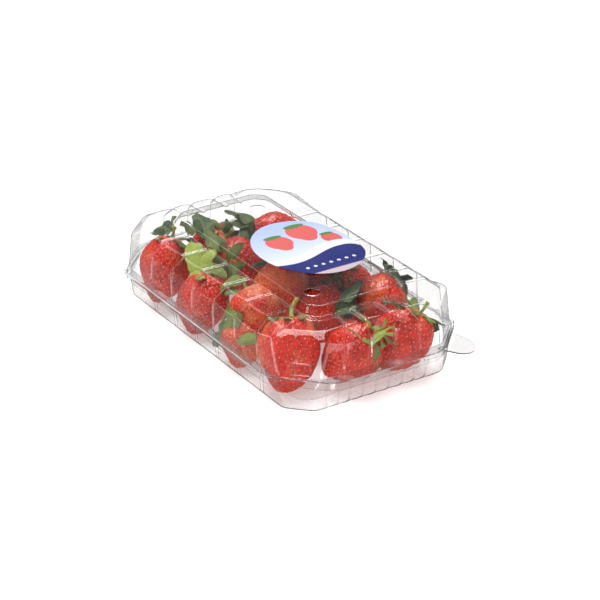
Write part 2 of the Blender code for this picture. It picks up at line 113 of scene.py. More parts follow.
# Raised plate on the near right facet: its middle along the facet, half width, heights, how far
# its edge slopes, how far it stands out, and an area that only the facet's flat face passes
PAD_AT, PAD_HALF, PAD_LOW, PAD_TOP = 1.6 * MM, 4.6 * MM, 20.9 * MM, 27.6 * MM
PAD_EDGE, PAD_RAISE = 0.4 * MM, 0.6 * MM
FACET_AREA = 90 * MM * MM

# Vents in the panel: their middles, and their bead as (distance outside the hole, height)
VENTS = [(53.0 * MM, -17.5 * MM), (-49.5 * MM, 14.0 * MM)]
VENT_RADIUS = 4.2 * MM
VENT_BEAD = [(1.0 * MM, 0.0), (0.7 * MM, 0.07 * MM), (0.35 * MM, 0.08 * MM), (0.0, 0.0)]

# How the tray's tongue lies: half width, length, straight part, thickness, droop in degrees
TONGUE_HALF, TONGUE_REACH, TONGUE_STRAIGHT = 9.5 * MM, 14 * MM, 4 * MM
TONGUE_THICK, TONGUE_DROOP = 0.6 * MM, 12

# The label: height of its underside over the panel's plane, thickness, ripple, and how fast it
# droops past the panel's edge
LABEL_LIFT, LABEL_THICK, LABEL_RIPPLE, LABEL_DROOP = 0.38 * MM, 0.16 * MM, 0.08 * MM, 22.0

# Room kept between the fruit and the film: at the floor, at the rim and under the lid
SIDE_ROOM_LOW, SIDE_ROOM_RIM, ROOF_ROOM, FLOOR_ROOM = 3.4 * MM, 1.2 * MM, 2.0 * MM, 0.8 * MM

# A seed's pit: its reach and depth, and the swollen rim's distance, reach and height
PIT_REACH, PIT_DEPTH = 0.80 * MM, 0.62 * MM
SWELL_AT, SWELL_REACH, SWELL_HEIGHT = 1.5 * MM, 0.6 * MM, 0.26 * MM

# A seed's half sizes and how deep it sits
SEED_HALVES, SEED_SUNK = (0.52 * MM, 0.32 * MM, 0.26 * MM), 0.38 * MM

# Angles in degrees past which an edge stays sharp in the shading
FILM_CREASE, FRUIT_CREASE, LEAF_CREASE = 35, 60, 50

# Strawberries: x, y, z of the middle, width, length (mm), where the tip points (azimuth from
# +X, elevation), ripeness, and its calyx: leaves, their length (mm), lift and curl, and tint
Berry = namedtuple("Berry", "x y z width length azimuth elevation ripe leaves leaf lift curl tint")
BERRIES = [
    Berry(-61, -38, 20, 27, 37, 300, -62, 0.62, 5, 12, 20, -30, 0.20),
    Berry(-21, -38, 15, 28, 34, 290, -60, 0.70, 5, 11, 10, -30, 0.80),
    Berry(20, -30, 24, 28, 30, 355, -42, 0.37, 5, 12, 0, -35, 0.55),
    Berry(57, -34, 19, 32, 40, 320, -68, 0.54, 7, 11, 10, -25, 0.25),
    Berry(72, -6, 18, 30, 35, 250, -44, 0.62, 6, 12, 15, -25, 0.60),
    Berry(73, 23, 18, 30, 36, 258, -52, 0.66, 6, 13, 22, -30, 0.40),
    Berry(8, -7, 25, 32, 37, 325, -22, 0.33, 8, 12, 10, -25, 0.35),
    Berry(3, 20, 18, 30, 34, 200, -30, 0.85, 7, 12, 10, -25, 0.30),
    Berry(32, 3, 19, 30, 34, 272, -18, 0.56, 8, 15, 20, -20, 0.10),
    Berry(37, 34, 19, 30, 34, 290, -32, 0.50, 6, 14, 38, -25, 0.10),
    Berry(-70, -2, 18, 27, 34, 200, -50, 0.58, 5, 12, 15, -25, 0.30),
    Berry(-42, -3, 21, 29, 34, 120, -22, 0.72, 8, 13, 20, -20, 0.30),
    Berry(-49, 26, 24, 32, 37, 82, -12, 0.56, 6, 15, 30, -20, 0.05),
    Berry(-16, 31, 19, 31, 35, 100, -40, 0.70, 8, 13, 15, -25, 0.30),
    Berry(12, 33, 17, 29, 34, 60, -45, 0.70, 8, 13, 15, -25, 0.30),
    Berry(24, -41, 12, 24, 26, 300, -50, 0.45, 4, 9, 10, -25, 0.40),
]

# Larger leaves: where each starts and ends (x, y, z, mm), its width (mm), how far it arches as
# a share of its length, its roll in degrees, and its tint
LEAVES = [
    (-69.4, -28.7, 36, -81.2, -34.6, 33, 9, 0.30, -10, 0.02),
    (-77.1, -29.3, 38, -73, -25.4, 38, 6, 0.15, 20, 0.00),
    (-61, -18, 36, -75.3, -19, 38, 9, 0.12, 10, 0.12),
    (-38.3, -15.9, 33, -63, -12.4, 38, 12, 0.10, 15, 0.22),
    (-51.3, -15, 36, -78.5, -8.3, 39, 11, 0.12, -15, 0.06),
    (-31.3, -34.2, 31, -51.5, -26.6, 37, 13, 0.12, 5, 1.10),
    (-33.5, -33, 31, -39.2, -18.4, 35, 12, 0.12, 0, 0.95),
    (-31.2, -31.8, 31, -16.6, -24.7, 28, 10, 0.15, 0, 0.55),
    (-33.5, -33, 31, -27.6, -41.4, 25, 7, 0.10, 20, 1.00),
    (-36.9, -34.3, 20, -42.2, -40.7, 13, 8, 0.10, 20, 0.20),
    (-11.1, -31.7, 28, -5, -18.3, 31, 10, 0.15, 0, 0.45),
    (-6.6, -32, 27, 4.4, -25.9, 27, 8, 0.10, 10, 0.30),
    (-1.3, -9.5, 40, -9.5, -16.7, 34, 9, 0.15, 0, 0.05),
    (-53.7, 16.9, 35, -72.2, 6.5, 39, 9, 0.08, 0, 0.12),
    (-54, 15.8, 34, -65, 0.2, 36, 8, 0.05, 10, 0.10),
    (-56.8, 13, 33, -46.7, 0.4, 28, 9, 0.10, -20, 0.04),
    (23.5, -44.5, 31, 17.9, -47, 11.4, 11, 0.10, -80, 0.50),
    (18, -45, 21, 5.6, -47, 4, 11, 0.08, -80, 0.28),
    (25, -44, 22, 27.9, -46, 5.5, 10, 0.08, -80, 0.30),
    (44, -45, 25, 28.7, -47.5, 17.4, 7, 0.08, -75, 0.60),
    (20.3, -46, 16.2, 3.8, -47, 8.2, 7, 0.08, -80, 0.20),
    (52.4, -23.3, 33, 51.4, -33.2, 33, 8, 0.10, 0, 0.12),
    (85.5, -3.8, 27.5, 78.7, 14.9, 29.5, 4, 0.15, 0, 0.85),
    (85.5, -3.8, 27.5, 73.1, -10.4, 33.5, 5, 0.10, 0, 0.80),
    (83.5, -2.5, 27, 87, -2.6, 18, 8, 0.10, 40, 0.40),
    (35.3, 41.3, 30, 20.3, 38.2, 37, 5, 0.15, 60, 0.00),
    (46.7, 43.5, 26, 28.9, 43, 38, 11, 0.15, 20, 0.02),
    (59.9, 29.6, 30, 57.9, 21.6, 33, 6, 0.10, 0, 0.10),
    (75.3, 23.7, 29, 65.8, 27.9, 34, 8, 0.10, 30, 0.90),
    (72.6, 29.3, 28, 62.3, 39.1, 33, 7, 0.10, 30, 0.45),
    (75.7, 32.1, 28, 80.4, 42.1, 21, 9, 0.10, 20, 0.10),
    (52.3, 1.6, 27, 45.4, 10.5, 37, 12, 0.10, 20, 0.02),
    (49.4, 4.7, 34, 37.5, 23.9, 36, 8, 0.10, 0, 0.00),
    (50.3, -0.1, 30, 56.3, 8, 32, 9, 0.10, 0, 0.10),
]

# Longer stalks: where each starts and ends (x, y, z, mm), its thickness (mm) and tint
STALKS = [
    (-73.5, -24.5, 35, -79, -21, 39.5, 1.8, 0.60),
    (57.5, -32.5, 38, 44.5, -21, 40.5, 1.7, 1.15),
    (5.1, -36.1, 26, 7.3, -43.5, 16, 1.6, 0.50),
    (78.7, -6.6, 29.5, 85.5, -3.8, 27.5, 1.6, 0.95),
    (85.5, -3.8, 27.5, 85.1, 9.4, 29.5, 1.5, 0.95),
]


class PunnetFilm(bpy.types.PropertyGroup):
    """Sizes and finish of the clear film."""
    wall: bpy.props.FloatProperty(
        name="Wall", description="Thickness of the film", default=0.35 * MM, unit="LENGTH")
    groove_half: bpy.props.FloatProperty(
        name="Groove half width", description="Half the width of a stiffening groove",
        default=1.3 * MM, unit="LENGTH")
    groove_depth: bpy.props.FloatProperty(
        name="Groove depth", description="Depth of a stiffening groove", default=0.7 * MM,
        unit="LENGTH")
    bulge: bpy.props.FloatProperty(
        name="Bay bulge", description="Outward crown of a bay between two grooves",
        default=0.8 * MM, unit="LENGTH")
    tint: bpy.props.FloatVectorProperty(
        name="Tint", description="Colour that one wall of film lets through", subtype="COLOR",
        size=4, default=(0.957, 0.962, 0.960, 1.0))


class PunnetFruit(bpy.types.PropertyGroup):
    """Colours of the fruit and its leaves, and how many seeds a berry has."""
    seeds: bpy.props.IntProperty(
        name="Seeds", description="Seeds on one berry", default=400, min=20, max=500)
    ripe: bpy.props.FloatVectorProperty(
        name="Ripe flesh", description="Colour of ripe flesh", subtype="COLOR", size=4,
        default=(0.76, 0.012, 0.006, 1.0))
    dark: bpy.props.FloatVectorProperty(
        name="Dark flesh", description="Colour of the ripest flesh", subtype="COLOR", size=4,
        default=(0.36, 0.004, 0.010, 1.0))
    orange: bpy.props.FloatVectorProperty(
        name="Orange flesh", description="Colour of flesh that is nearly ripe",
        subtype="COLOR", size=4, default=(0.88, 0.15, 0.035, 1.0))
    pale: bpy.props.FloatVectorProperty(
        name="Pale flesh", description="Colour of unripe flesh by the leaves",
        subtype="COLOR", size=4, default=(0.80, 0.50, 0.30, 1.0))
    seed: bpy.props.FloatVectorProperty(
        name="Seed", description="Colour of the seeds", subtype="COLOR", size=4,
        default=(0.98, 0.48, 0.22, 1.0))
    leaf_dark: bpy.props.FloatVectorProperty(
        name="Dark leaf", description="Colour of the darkest leaves", subtype="COLOR",
        size=4, default=(0.024, 0.050, 0.022, 1.0))
    leaf_light: bpy.props.FloatVectorProperty(
        name="Light leaf", description="Colour of the lightest leaves", subtype="COLOR",
        size=4, default=(0.34, 0.40, 0.06, 1.0))


class PunnetLabel(bpy.types.PropertyGroup):
    """Size and colours of the oval label."""
    half_x: bpy.props.FloatProperty(
        name="Half length", description="Half the label's size along the punnet",
        default=34.5 * MM, unit="LENGTH")
    half_y: bpy.props.FloatProperty(
        name="Half width", description="Half the label's size across the punnet",
        default=27.8 * MM, unit="LENGTH")
    field: bpy.props.FloatVectorProperty(
        name="Field", description="Colour of the label's pale field", subtype="COLOR",
        size=4, default=(0.42, 0.52, 0.86, 1.0))
    deep: bpy.props.FloatVectorProperty(
        name="Deep field", description="Colour of the label's dark field", subtype="COLOR",
        size=4, default=(0.012, 0.018, 0.16, 1.0))
    accent: bpy.props.FloatVectorProperty(
        name="Accent", description="Colour of the label's fruit shapes", subtype="COLOR",
        size=4, default=(0.68, 0.12, 0.11, 1.0))


class PunnetStage(bpy.types.PropertyGroup):
    """Floor, lamps and surroundings."""
    floor: bpy.props.FloatVectorProperty(
        name="Floor", description="Colour of the floor", subtype="COLOR", size=4,
        default=(0.72, 0.72, 0.72, 1.0))
    glow: bpy.props.FloatProperty(
        name="Floor glow", description="Light that comes up through the floor", default=0.45,
        min=0.0)
    surround: bpy.props.FloatProperty(
        name="Surround", description="Strength of the white surroundings", default=0.65,
        min=0.0)
    key: bpy.props.FloatProperty(
        name="Key lamp", description="Strength of the overhead lamp", default=2.5,
        min=0.0)


def settings(name):
    return getattr(bpy.context.scene, "punnet_" + name)


def deselect():
    if bpy.context.object and bpy.context.object.mode != "OBJECT":
        bpy.ops.object.mode_set(mode="OBJECT")
    bpy.ops.object.select_all(action="DESELECT")


def work_on(obj):
    deselect()
    obj.select_set(True)
    bpy.context.view_layer.objects.active = obj


def named(obj, name):
    obj.name = name
    obj.data.name = name
    return obj


def settle(obj):
    """Apply every modifier and the object's place, so that it sits at the origin."""
    work_on(obj)
    for modifier in list(obj.modifiers):
        bpy.ops.object.modifier_apply(modifier=modifier.name)
    bpy.ops.object.transform_apply(location=True, rotation=True, scale=True)


def smooth(obj, degrees):
    work_on(obj)
    bpy.ops.object.shade_smooth_by_angle(angle=math.radians(degrees))


def even_flats(obj):
    """Keep broad faces flat in the shading, so that only the bends between them shine."""
    work_on(obj)
    weights = obj.modifiers.new("Flats", "WEIGHTED_NORMAL")
    weights.keep_sharp = True
    bpy.ops.object.modifier_apply(modifier=weights.name)


def joined(pieces, name):
    """Join several objects into the first and name it."""
    deselect()
    for piece in pieces:
        piece.select_set(True)
    bpy.context.view_layer.objects.active = pieces[0]
    if len(pieces) > 1:
        bpy.ops.object.join()
    return named(bpy.context.object, name)


def finish(obj, material, body, nodes=()):
    """Dress a piece and hang it on its body."""
    obj.data.materials.clear()
    obj.data.materials.append(material)
    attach(obj, body)
    if nodes:
        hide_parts(*nodes)
    return obj


# Shader building

def new_material(name):
    material = bpy.data.materials.get(name)
    if material:
        return material, None, None
    material = bpy.data.materials.new(name)
    material.use_nodes = True
    tree = material.node_tree
    return material, tree, tree.nodes["Principled BSDF"]


def add(tree, kind, **values):
    made = tree.nodes.new(kind)
    for name, value in values.items():
        setattr(made, name, value)
    return made


def grey(value):
    return (value, value, value, 1.0)


def plain(node, **values):
    """Set plain numbers and colours on a node's own sockets; _ stands for a space."""
    for name, value in values.items():
        node.inputs[name.replace("_", " ")].default_value = value


def wire(tree, source, target):
    tree.links.new(source, target)


def maths(tree, operation, first, second=None, clamp=False):
    made = add(tree, "ShaderNodeMath", operation=operation, use_clamp=clamp)
    for socket, value in zip(made.inputs, (first, second)):
        if value is None:
            continue
        if isinstance(value, (int, float)):
            socket.default_value = value
        else:
            wire(tree, value, socket)
    return made.outputs[0]


def blend_colours(tree, share, first, second):
    made = add(tree, "ShaderNodeMix", data_type="RGBA")
    for socket, value in ((made.inputs[0], share), (made.inputs[6], first),
                          (made.inputs[7], second)):
        if isinstance(value, (int, float)):
            socket.default_value = value
        elif hasattr(value, "is_output"):
            wire(tree, value, socket)
        else:
            socket.default_value = tuple(value)
    return made.outputs[2]


def spread(tree, value, low, high, to_low=0.0, to_high=1.0):
    """Map Range with smooth ends."""
    made = add(tree, "ShaderNodeMapRange", interpolation_type="SMOOTHSTEP")
    wire(tree, value, made.inputs["Value"])
    plain(made, From_Min=low, From_Max=high, To_Min=to_low, To_Max=to_high)
    return made.outputs["Result"]


def object_place(tree):
    return add(tree, "ShaderNodeTexCoord").outputs["Object"]


def attribute(tree, name):
    return add(tree, "ShaderNodeAttribute", attribute_name=name).outputs["Fac"]


def bump(tree, height, strength, distance, target):
    made = add(tree, "ShaderNodeBump")
    plain(made, Strength=strength, Distance=distance)
    wire(tree, height, made.inputs["Height"])
    wire(tree, made.outputs["Normal"], target)


def mottle_group():
    """Node group: broad blotches and fine grain over any surface, from a place in metres."""
    group = bpy.data.node_groups.get("Mottle")
    if group:
        return group
    group = bpy.data.node_groups.new("Mottle", "ShaderNodeTree")
    group.interface.new_socket(name="Place", in_out="INPUT", socket_type="NodeSocketVector")
    for name, value in (("Blotch Size", 0.01), ("Grain Size", 0.001)):
        socket = group.interface.new_socket(name=name, in_out="INPUT",
                                            socket_type="NodeSocketFloat")
        socket.default_value = value
    for name in ("Blotches", "Grain"):
        group.interface.new_socket(name=name, in_out="OUTPUT", socket_type="NodeSocketFloat")
    start = add(group, "NodeGroupInput")
    end = add(group, "NodeGroupOutput")
    for size, detail, result in (("Blotch Size", 3.0, "Blotches"), ("Grain Size", 2.0, "Grain")):
        cloud = add(group, "ShaderNodeTexNoise")
        plain(cloud, Detail=detail)
        wire(group, start.outputs["Place"], cloud.inputs["Vector"])
        wire(group, maths(group, "DIVIDE", 1.0, start.outputs[size]), cloud.inputs["Scale"])
        wire(group, cloud.outputs["Fac"], end.inputs[result])
    return group


def mottle(tree, blotch, grain):
    made = add(tree, "ShaderNodeGroup", node_tree=mottle_group())
    wire(tree, object_place(tree), made.inputs["Place"])
    plain(made, Blotch_Size=blotch, Grain_Size=grain)
    return made.outputs["Blotches"], made.outputs["Grain"]


def disc_group():
    """Node group: 1 inside an ellipse and 0 outside it, with a soft edge."""
    group = bpy.data.node_groups.get("Disc")
    if group:
        return group
    group = bpy.data.node_groups.new("Disc", "ShaderNodeTree")
    for name, kind in (("Place", "NodeSocketVector"), ("Middle", "NodeSocketVector"),
                       ("Radii", "NodeSocketVector"), ("Edge", "NodeSocketFloat")):
        group.interface.new_socket(name=name, in_out="INPUT", socket_type=kind)
    group.interface.new_socket(name="Mask", in_out="OUTPUT", socket_type="NodeSocketFloat")
    start = add(group, "NodeGroupInput")
    end = add(group, "NodeGroupOutput")
    away = add(group, "ShaderNodeVectorMath", operation="SUBTRACT")
    share = add(group, "ShaderNodeVectorMath", operation="DIVIDE")
    length = add(group, "ShaderNodeVectorMath", operation="LENGTH")
    wire(group, start.outputs["Place"], away.inputs[0])
    wire(group, start.outputs["Middle"], away.inputs[1])
    wire(group, away.outputs[0], share.inputs[0])
    wire(group, start.outputs["Radii"], share.inputs[1])
    wire(group, share.outputs[0], length.inputs[0])
    inside = maths(group, "SUBTRACT", 1.0, length.outputs["Value"])
    mask = maths(group, "DIVIDE", inside, start.outputs["Edge"])
    wire(group, maths(group, "ADD", mask, 0.5, clamp=True), end.inputs["Mask"])
    return group


def disc(tree, place, middle, radii, edge=0.03):
    made = add(tree, "ShaderNodeGroup", node_tree=disc_group())
    wire(tree, place, made.inputs["Place"])
    plain(made, Middle=(*middle, 0.0), Radii=(*radii, 1.0), Edge=edge)
    return made.outputs["Mask"]


def clear_film():
    """Clear moulded film: glass with a faint waviness, and a greyer tongue past the rim's corner.
    Lamps shine through it."""
    material, tree, shader = new_material("moulded_film")
    if tree is None:
        return material
    film = settings("film")
    split = add(tree, "ShaderNodeSeparateXYZ")
    wire(tree, object_place(tree), split.inputs[0])
    outwards = maths(tree, "ADD", split.outputs["X"], split.outputs["Y"])
    corner = RIM["hx"] + RIM["hy"] - RIM["cut"]
    colour = blend_colours(tree, spread(tree, outwards, corner, corner + 2 * MM), film.tint,
                           grey(0.78))
    wire(tree, colour, shader.inputs["Base Color"])
    plain(shader, Transmission_Weight=1.0, IOR=1.42)
    blotches, grain = mottle(tree, 14 * MM, 2.5 * MM)
    wire(tree, spread(tree, grain, 0.45, 0.75, 0.02, 0.06), shader.inputs["Roughness"])
    bump(tree, blotches, 0.12, 1.0 * MM, shader.inputs["Normal"])
    edge = add(tree, "ShaderNodeBsdfTransparent")
    plain(edge, Color=(0.92, 0.925, 0.925, 1.0))
    facing = add(tree, "ShaderNodeLayerWeight")
    soften = add(tree, "ShaderNodeMixShader")
    wire(tree, spread(tree, facing.outputs["Facing"], 0.70, 1.0, 0.0, 0.75), soften.inputs[0])
    wire(tree, shader.outputs[0], soften.inputs[1])
    wire(tree, edge.outputs[0], soften.inputs[2])
    see = add(tree, "ShaderNodeBsdfTransparent")
    plain(see, Color=(0.975, 0.98, 0.98, 1.0))
    path = add(tree, "ShaderNodeLightPath")
    pick = add(tree, "ShaderNodeMixShader")
    wire(tree, maths(tree, "MAXIMUM", path.outputs["Is Shadow Ray"],
                     path.outputs["Is Diffuse Ray"]), pick.inputs[0])
    wire(tree, soften.outputs[0], pick.inputs[1])
    wire(tree, see.outputs[0], pick.inputs[2])
    wire(tree, pick.outputs[0], tree.nodes["Material Output"].inputs["Surface"])
    return material


def label_paper():
    """Glossy label: a pale field with fruit shapes, a white ribbon and a deep field below."""
    material, tree, shader = new_material("printed_label")
    if tree is None:
        return material
    look = settings("label")
    low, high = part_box("label")
    centre = [(a + b) / 2 for a, b in zip(low, high)]
    turn = add(tree, "ShaderNodeMapping", vector_type="TEXTURE")
    plain(turn, Location=(centre[0], centre[1], 0.0), Rotation=(0.0, 0.0, math.radians(90)),
          Scale=(look.half_y, look.half_x, 1.0))
    wire(tree, object_place(tree), turn.inputs["Vector"])
    place = turn.outputs["Vector"]
    split = add(tree, "ShaderNodeSeparateXYZ")
    wire(tree, place, split.inputs[0])
    across, up = split.outputs["X"], split.outputs["Y"]
    colour = blend_colours(tree, spread(tree, up, -0.4, 1.0), (0.66, 0.72, 0.92, 1.0),
                           look.field)
    leaf = (0.08, 0.22, 0.06, 1.0)
    for x, y, size in ((-0.36, 0.34, 0.26), (0.26, 0.50, 0.30), (0.62, 0.10, 0.20)):
        for up_by, half_x, half_y, edge, paint in (
                (0.0, 1.0, 0.9, 0.03, look.accent), (-0.55, 0.62, 0.62, 0.03, look.accent),
                (0.80, 0.75, 0.22, 0.1, leaf)):
            shape = disc(tree, place, (x, y + size * up_by), (size * half_x, size * half_y), edge)
            colour = blend_colours(tree, shape, colour, paint)
    wave = maths(tree, "MULTIPLY", maths(tree, "SINE", maths(tree, "MULTIPLY", across, 3.0)),
                 0.10)
    below = maths(tree, "SUBTRACT", wave, up)
    ribbon = spread(tree, below, 0.10, 0.12)
    colour = blend_colours(tree, ribbon, colour, (0.80, 0.84, 0.92, 1.0))
    deep = spread(tree, below, 0.30, 0.32)
    colour = blend_colours(tree, deep, colour, look.deep)
    strip = spread(tree, up, -0.84, -0.86)
    colour = blend_colours(tree, strip, colour, (0.55, 0.45, 0.50, 1.0))
    for index in range(7):
        spot = disc(tree, place, ((index - 3) * 0.17, -0.64), (0.035, 0.030), 0.3)
        colour = blend_colours(tree, spot, colour, (0.80, 0.82, 0.90, 1.0))
    blotches, grain = mottle(tree, 20 * MM, 0.4 * MM)
    colour = blend_colours(tree, spread(tree, grain, 0.5, 0.8, 0.0, 0.12), colour,
                           (0.7, 0.7, 0.72, 1.0))
    wire(tree, colour, shader.inputs["Base Color"])
    wire(tree, spread(tree, blotches, 0.3, 0.7, 0.26, 0.40), shader.inputs["Roughness"])
    bump(tree, blotches, 0.15, 1.0 * MM, shader.inputs["Normal"])
    return material


def strawberry_flesh():
    """Moist flesh: ripeness and pale shoulders come from the mesh, blotches from noise. Painted
    shade darkens each seed's pit, and a painted highlight lightens the rims between the dimples.
    """
    material, tree, shader = new_material("strawberry_flesh")
    if tree is None:
        return material
    look = settings("fruit")
    blotches, grain = mottle(tree, 9 * MM, 0.9 * MM)
    sway = maths(tree, "MULTIPLY", maths(tree, "SUBTRACT", blotches, 0.5), 0.5)
    ripe = maths(tree, "ADD", attribute(tree, "ripe"), sway, clamp=True)
    colour = blend_colours(tree, spread(tree, ripe, 0.0, 0.30), look.pale, look.orange)
    colour = blend_colours(tree, spread(tree, ripe, 0.28, 0.55), colour, look.ripe)
    colour = blend_colours(tree, spread(tree, ripe, 0.60, 0.95), colour, look.dark)
    cells = add(tree, "ShaderNodeTexVoronoi", feature="F1")
    plain(cells, Scale=1 / (2.4 * MM))
    wire(tree, object_place(tree), cells.inputs["Vector"])
    swollen = spread(tree, cells.outputs["Distance"], 0.10, 0.55)
    # Painted highlight: the raised rims between the dimples are lightened towards orange
    colour = blend_colours(tree, spread(tree, swollen, 0.0, 1.0, 0.0, 0.10), colour, look.orange)
    # Painted shade: the flesh is darkened towards deep red in each seed's pit
    pit = attribute(tree, "pit")
    colour = blend_colours(tree, maths(tree, "MULTIPLY", pit, 0.6), colour,
                           (0.34, 0.006, 0.004, 1.0))
    wire(tree, colour, shader.inputs["Base Color"])
    wire(tree, spread(tree, grain, 0.3, 0.7, 0.22, 0.42), shader.inputs["Roughness"])
    plain(shader, Subsurface_Weight=0.22, Subsurface_Radius=(1.0, 0.22, 0.12),
          Subsurface_Scale=2.5 * MM, Specular_IOR_Level=0.30, Coat_Weight=0.60,
          Coat_Roughness=0.09)
    bump(tree, maths(tree, "ADD", swollen, maths(tree, "MULTIPLY", grain, 0.3)), 1.0, 0.8 * MM,
         shader.inputs["Normal"])
    return material


def strawberry_seed():
    material, tree, shader = new_material("strawberry_seed")
    if tree is None:
        return material
    look = settings("fruit")
    blotches, grain = mottle(tree, 4 * MM, 0.8 * MM)
    colour = blend_colours(tree, spread(tree, blotches, 0.35, 0.65), look.seed,
                           (0.88, 0.36, 0.20, 1.0))
    wire(tree, colour, shader.inputs["Base Color"])
    wire(tree, spread(tree, grain, 0.3, 0.7, 0.3, 0.5), shader.inputs["Roughness"])
    plain(shader, Coat_Weight=0.4, Coat_Roughness=0.15)
    return material


def strawberry_leaf():
    """Leaf: tint from the mesh, pale veins from its UV map, fine down in the grain."""
    material, tree, shader = new_material("strawberry_leaf")
    if tree is None:
        return material
    look = settings("fruit")
    blotches, grain = mottle(tree, 6 * MM, 0.7 * MM)
    tint = maths(tree, "ADD", attribute(tree, "tint"),
                 maths(tree, "MULTIPLY", maths(tree, "SUBTRACT", blotches, 0.5), 0.5),
                 clamp=True)
    colour = blend_colours(tree, tint, look.leaf_dark, look.leaf_light)
    split = add(tree, "ShaderNodeSeparateXYZ")
    wire(tree, add(tree, "ShaderNodeTexCoord").outputs["UV"], split.inputs[0])
    along, across = split.outputs["X"], split.outputs["Y"]
    side = maths(tree, "ABSOLUTE", maths(tree, "SUBTRACT", across, 0.5))
    midrib = spread(tree, side, 0.0, 0.05, 1.0, 0.0)
    slant = maths(tree, "SUBTRACT", maths(tree, "MULTIPLY", along, 9.0),
                  maths(tree, "MULTIPLY", side, 6.0))
    veins = spread(tree, maths(tree, "ABSOLUTE", maths(tree, "SUBTRACT",
                   maths(tree, "FRACT", slant), 0.5)), 0.0, 0.12, 0.6, 0.0)
    ribs = maths(tree, "MAXIMUM", midrib, veins)
    colour = blend_colours(tree, maths(tree, "MULTIPLY", ribs, 0.35), colour,
                           (0.30, 0.40, 0.12, 1.0))
    wire(tree, colour, shader.inputs["Base Color"])
    wire(tree, spread(tree, grain, 0.3, 0.7, 0.45, 0.65), shader.inputs["Roughness"])
    height = maths(tree, "ADD", maths(tree, "MULTIPLY", ribs, -0.6), grain)
    bump(tree, height, 0.4, 0.4 * MM, shader.inputs["Normal"])
    plain(shader, Subsurface_Weight=0.15, Subsurface_Radius=(0.4, 1.0, 0.2),
          Subsurface_Scale=1.0 * MM)
    return material


def mirrored_share(tree):
    """1 for what is mirrored once, and 0 for what is seen directly or through film."""
    path = add(tree, "ShaderNodeLightPath")
    away = maths(tree, "ABSOLUTE", maths(tree, "SUBTRACT", path.outputs["Glossy Depth"], 1.0))
    return maths(tree, "SUBTRACT", 1.0, away, clamp=True)


def floor_card():
    """Pale card, which mirrors as a darker studio floor, with patches that glow only in
    reflections as painted highlights.
    """
    material, tree, shader = new_material("floor_card")
    if tree is None:
        return material
    blotches, grain = mottle(tree, 250 * MM, 4 * MM)
    pale = settings("stage").floor
    colour = blend_colours(tree, spread(tree, blotches, 0.3, 0.7), pale,
                           [value * 0.985 for value in pale[:3]] + [1.0])
    colour = blend_colours(tree, mirrored_share(tree), colour, grey(DIM))
    wire(tree, colour, shader.inputs["Base Color"])
    wire(tree, spread(tree, grain, 0.3, 0.7, 0.55, 0.7), shader.inputs["Roughness"])
    # Painted highlights: patches that glow only where the floor is mirrored
    patch_glow = 0.0
    for middle, radii, bright in MIRROR_GLOW_PATCHES:
        card = disc(tree, object_place(tree), middle, radii, 0.3)
        patch_glow = maths(tree, "MAXIMUM", maths(tree, "MULTIPLY", card, bright), patch_glow)
    glow = spread(tree, mirrored_share(tree), 0.0, 1.0, settings("stage").glow, 0.0)
    shine = maths(tree, "MULTIPLY", patch_glow, mirrored_share(tree))
    wire(tree, maths(tree, "ADD", glow, shine), shader.inputs["Emission Strength"])
    plain(shader, Emission_Color=grey(1.0))
    return material


# Film shells

def groove_depth_at(share):
    """Section of a groove: 1 at its bottom and 0 at its lips, in one soft wave."""
    return 0.5 + 0.5 * math.cos(math.pi * share)


def grooved_run(places, half, crowned=True):
    """Points along one side: (place, depth share of the groove, crown share of the bay)."""
    run = []
    for index, place in enumerate(places):
        if index and crowned:
            before = places[index - 1]
            for share in BAY_SAMPLES:
                run.append((before + (place - before) * share, 0.0, math.sin(math.pi * share)))
        for share in GROOVE_SAMPLES:
            run.append((place + share * half, groove_depth_at(share), 0.0))
    return run


def fluted_run():
    """Points along a fluted side, a millimetre apart."""
    count = int(2 * FLUTED_HALF / MM)
    run = []
    for step in range(count + 1):
        place = -FLUTED_HALF + step * MM
        wave = 0.5 - 0.5 * math.cos(2 * math.pi * (place + FLUTED_HALF) / FLUTE_PITCH)
        run.append((place, wave, 0.0))
    return run


def mirrored(places):
    return [-place for place in reversed(places)]


def fit_along(place, keep, outer, limit):
    """Keep a place near the middle of a side, and draw the ends in to a shorter side."""
    if abs(place) <= keep:
        return place
    return math.copysign(keep + (abs(place) - keep) * (limit - keep) / (outer - keep), place)


def bent(before, corner, after, reach, steps):
    """Points of a bend that rounds off one corner of a line."""
    start = corner + (before - corner).normalized() * min(reach, (before - corner).length * 0.45)
    end = corner + (after - corner).normalized() * min(reach, (after - corner).length * 0.45)
    points = []
    for step in range(steps):
        t = step / (steps - 1)
        points.append(start * (1 - t) ** 2 + corner * (2 * t * (1 - t)) + end * t * t)
    return points


def outline(level, sides):
    """One closed section of a shell, anticlockwise from above."""
    hx, hy, cut, reach, z = (level[key] for key in ("hx", "hy", "cut", "reach", "z"))
    inward, down, bulge = (level.get(key, 0.0) for key in ("inward", "down", "bulge"))
    corner_z = level.get("corner_z", z)
    turns = [("right", Vector((1, 0)), Vector((0, 1)), hx, hy - cut),
             ("far", Vector((0, 1)), Vector((-1, 0)), hy, hx - cut),
             ("left", Vector((-1, 0)), Vector((0, -1)), hx, hy - cut),
             ("near", Vector((0, -1)), Vector((1, 0)), hy, hx - cut)]
    points = []
    for index, (name, out, along, depth, half) in enumerate(turns):
        keep, outer, run = sides[name]
        deep = level.get("long_inward", inward) if name in ("near", "far") else inward
        for place, groove, crown in run:
            s = fit_along(place, keep, outer, half - reach * 1.2)
            flat = out * (depth - deep * groove + bulge * crown) + along * s
            points.append(Vector((flat.x, flat.y, z - down * groove)))
        following = turns[(index + 1) % 4]
        first = out * depth + along * half
        second = following[1] * following[3] - following[2] * following[4]
        for flat in (bent(first - along, first, second, reach, 5)
                     + bent(first, second, second + following[2], reach, 5)):
            points.append(Vector((flat.x, flat.y, corner_z)))
    return points


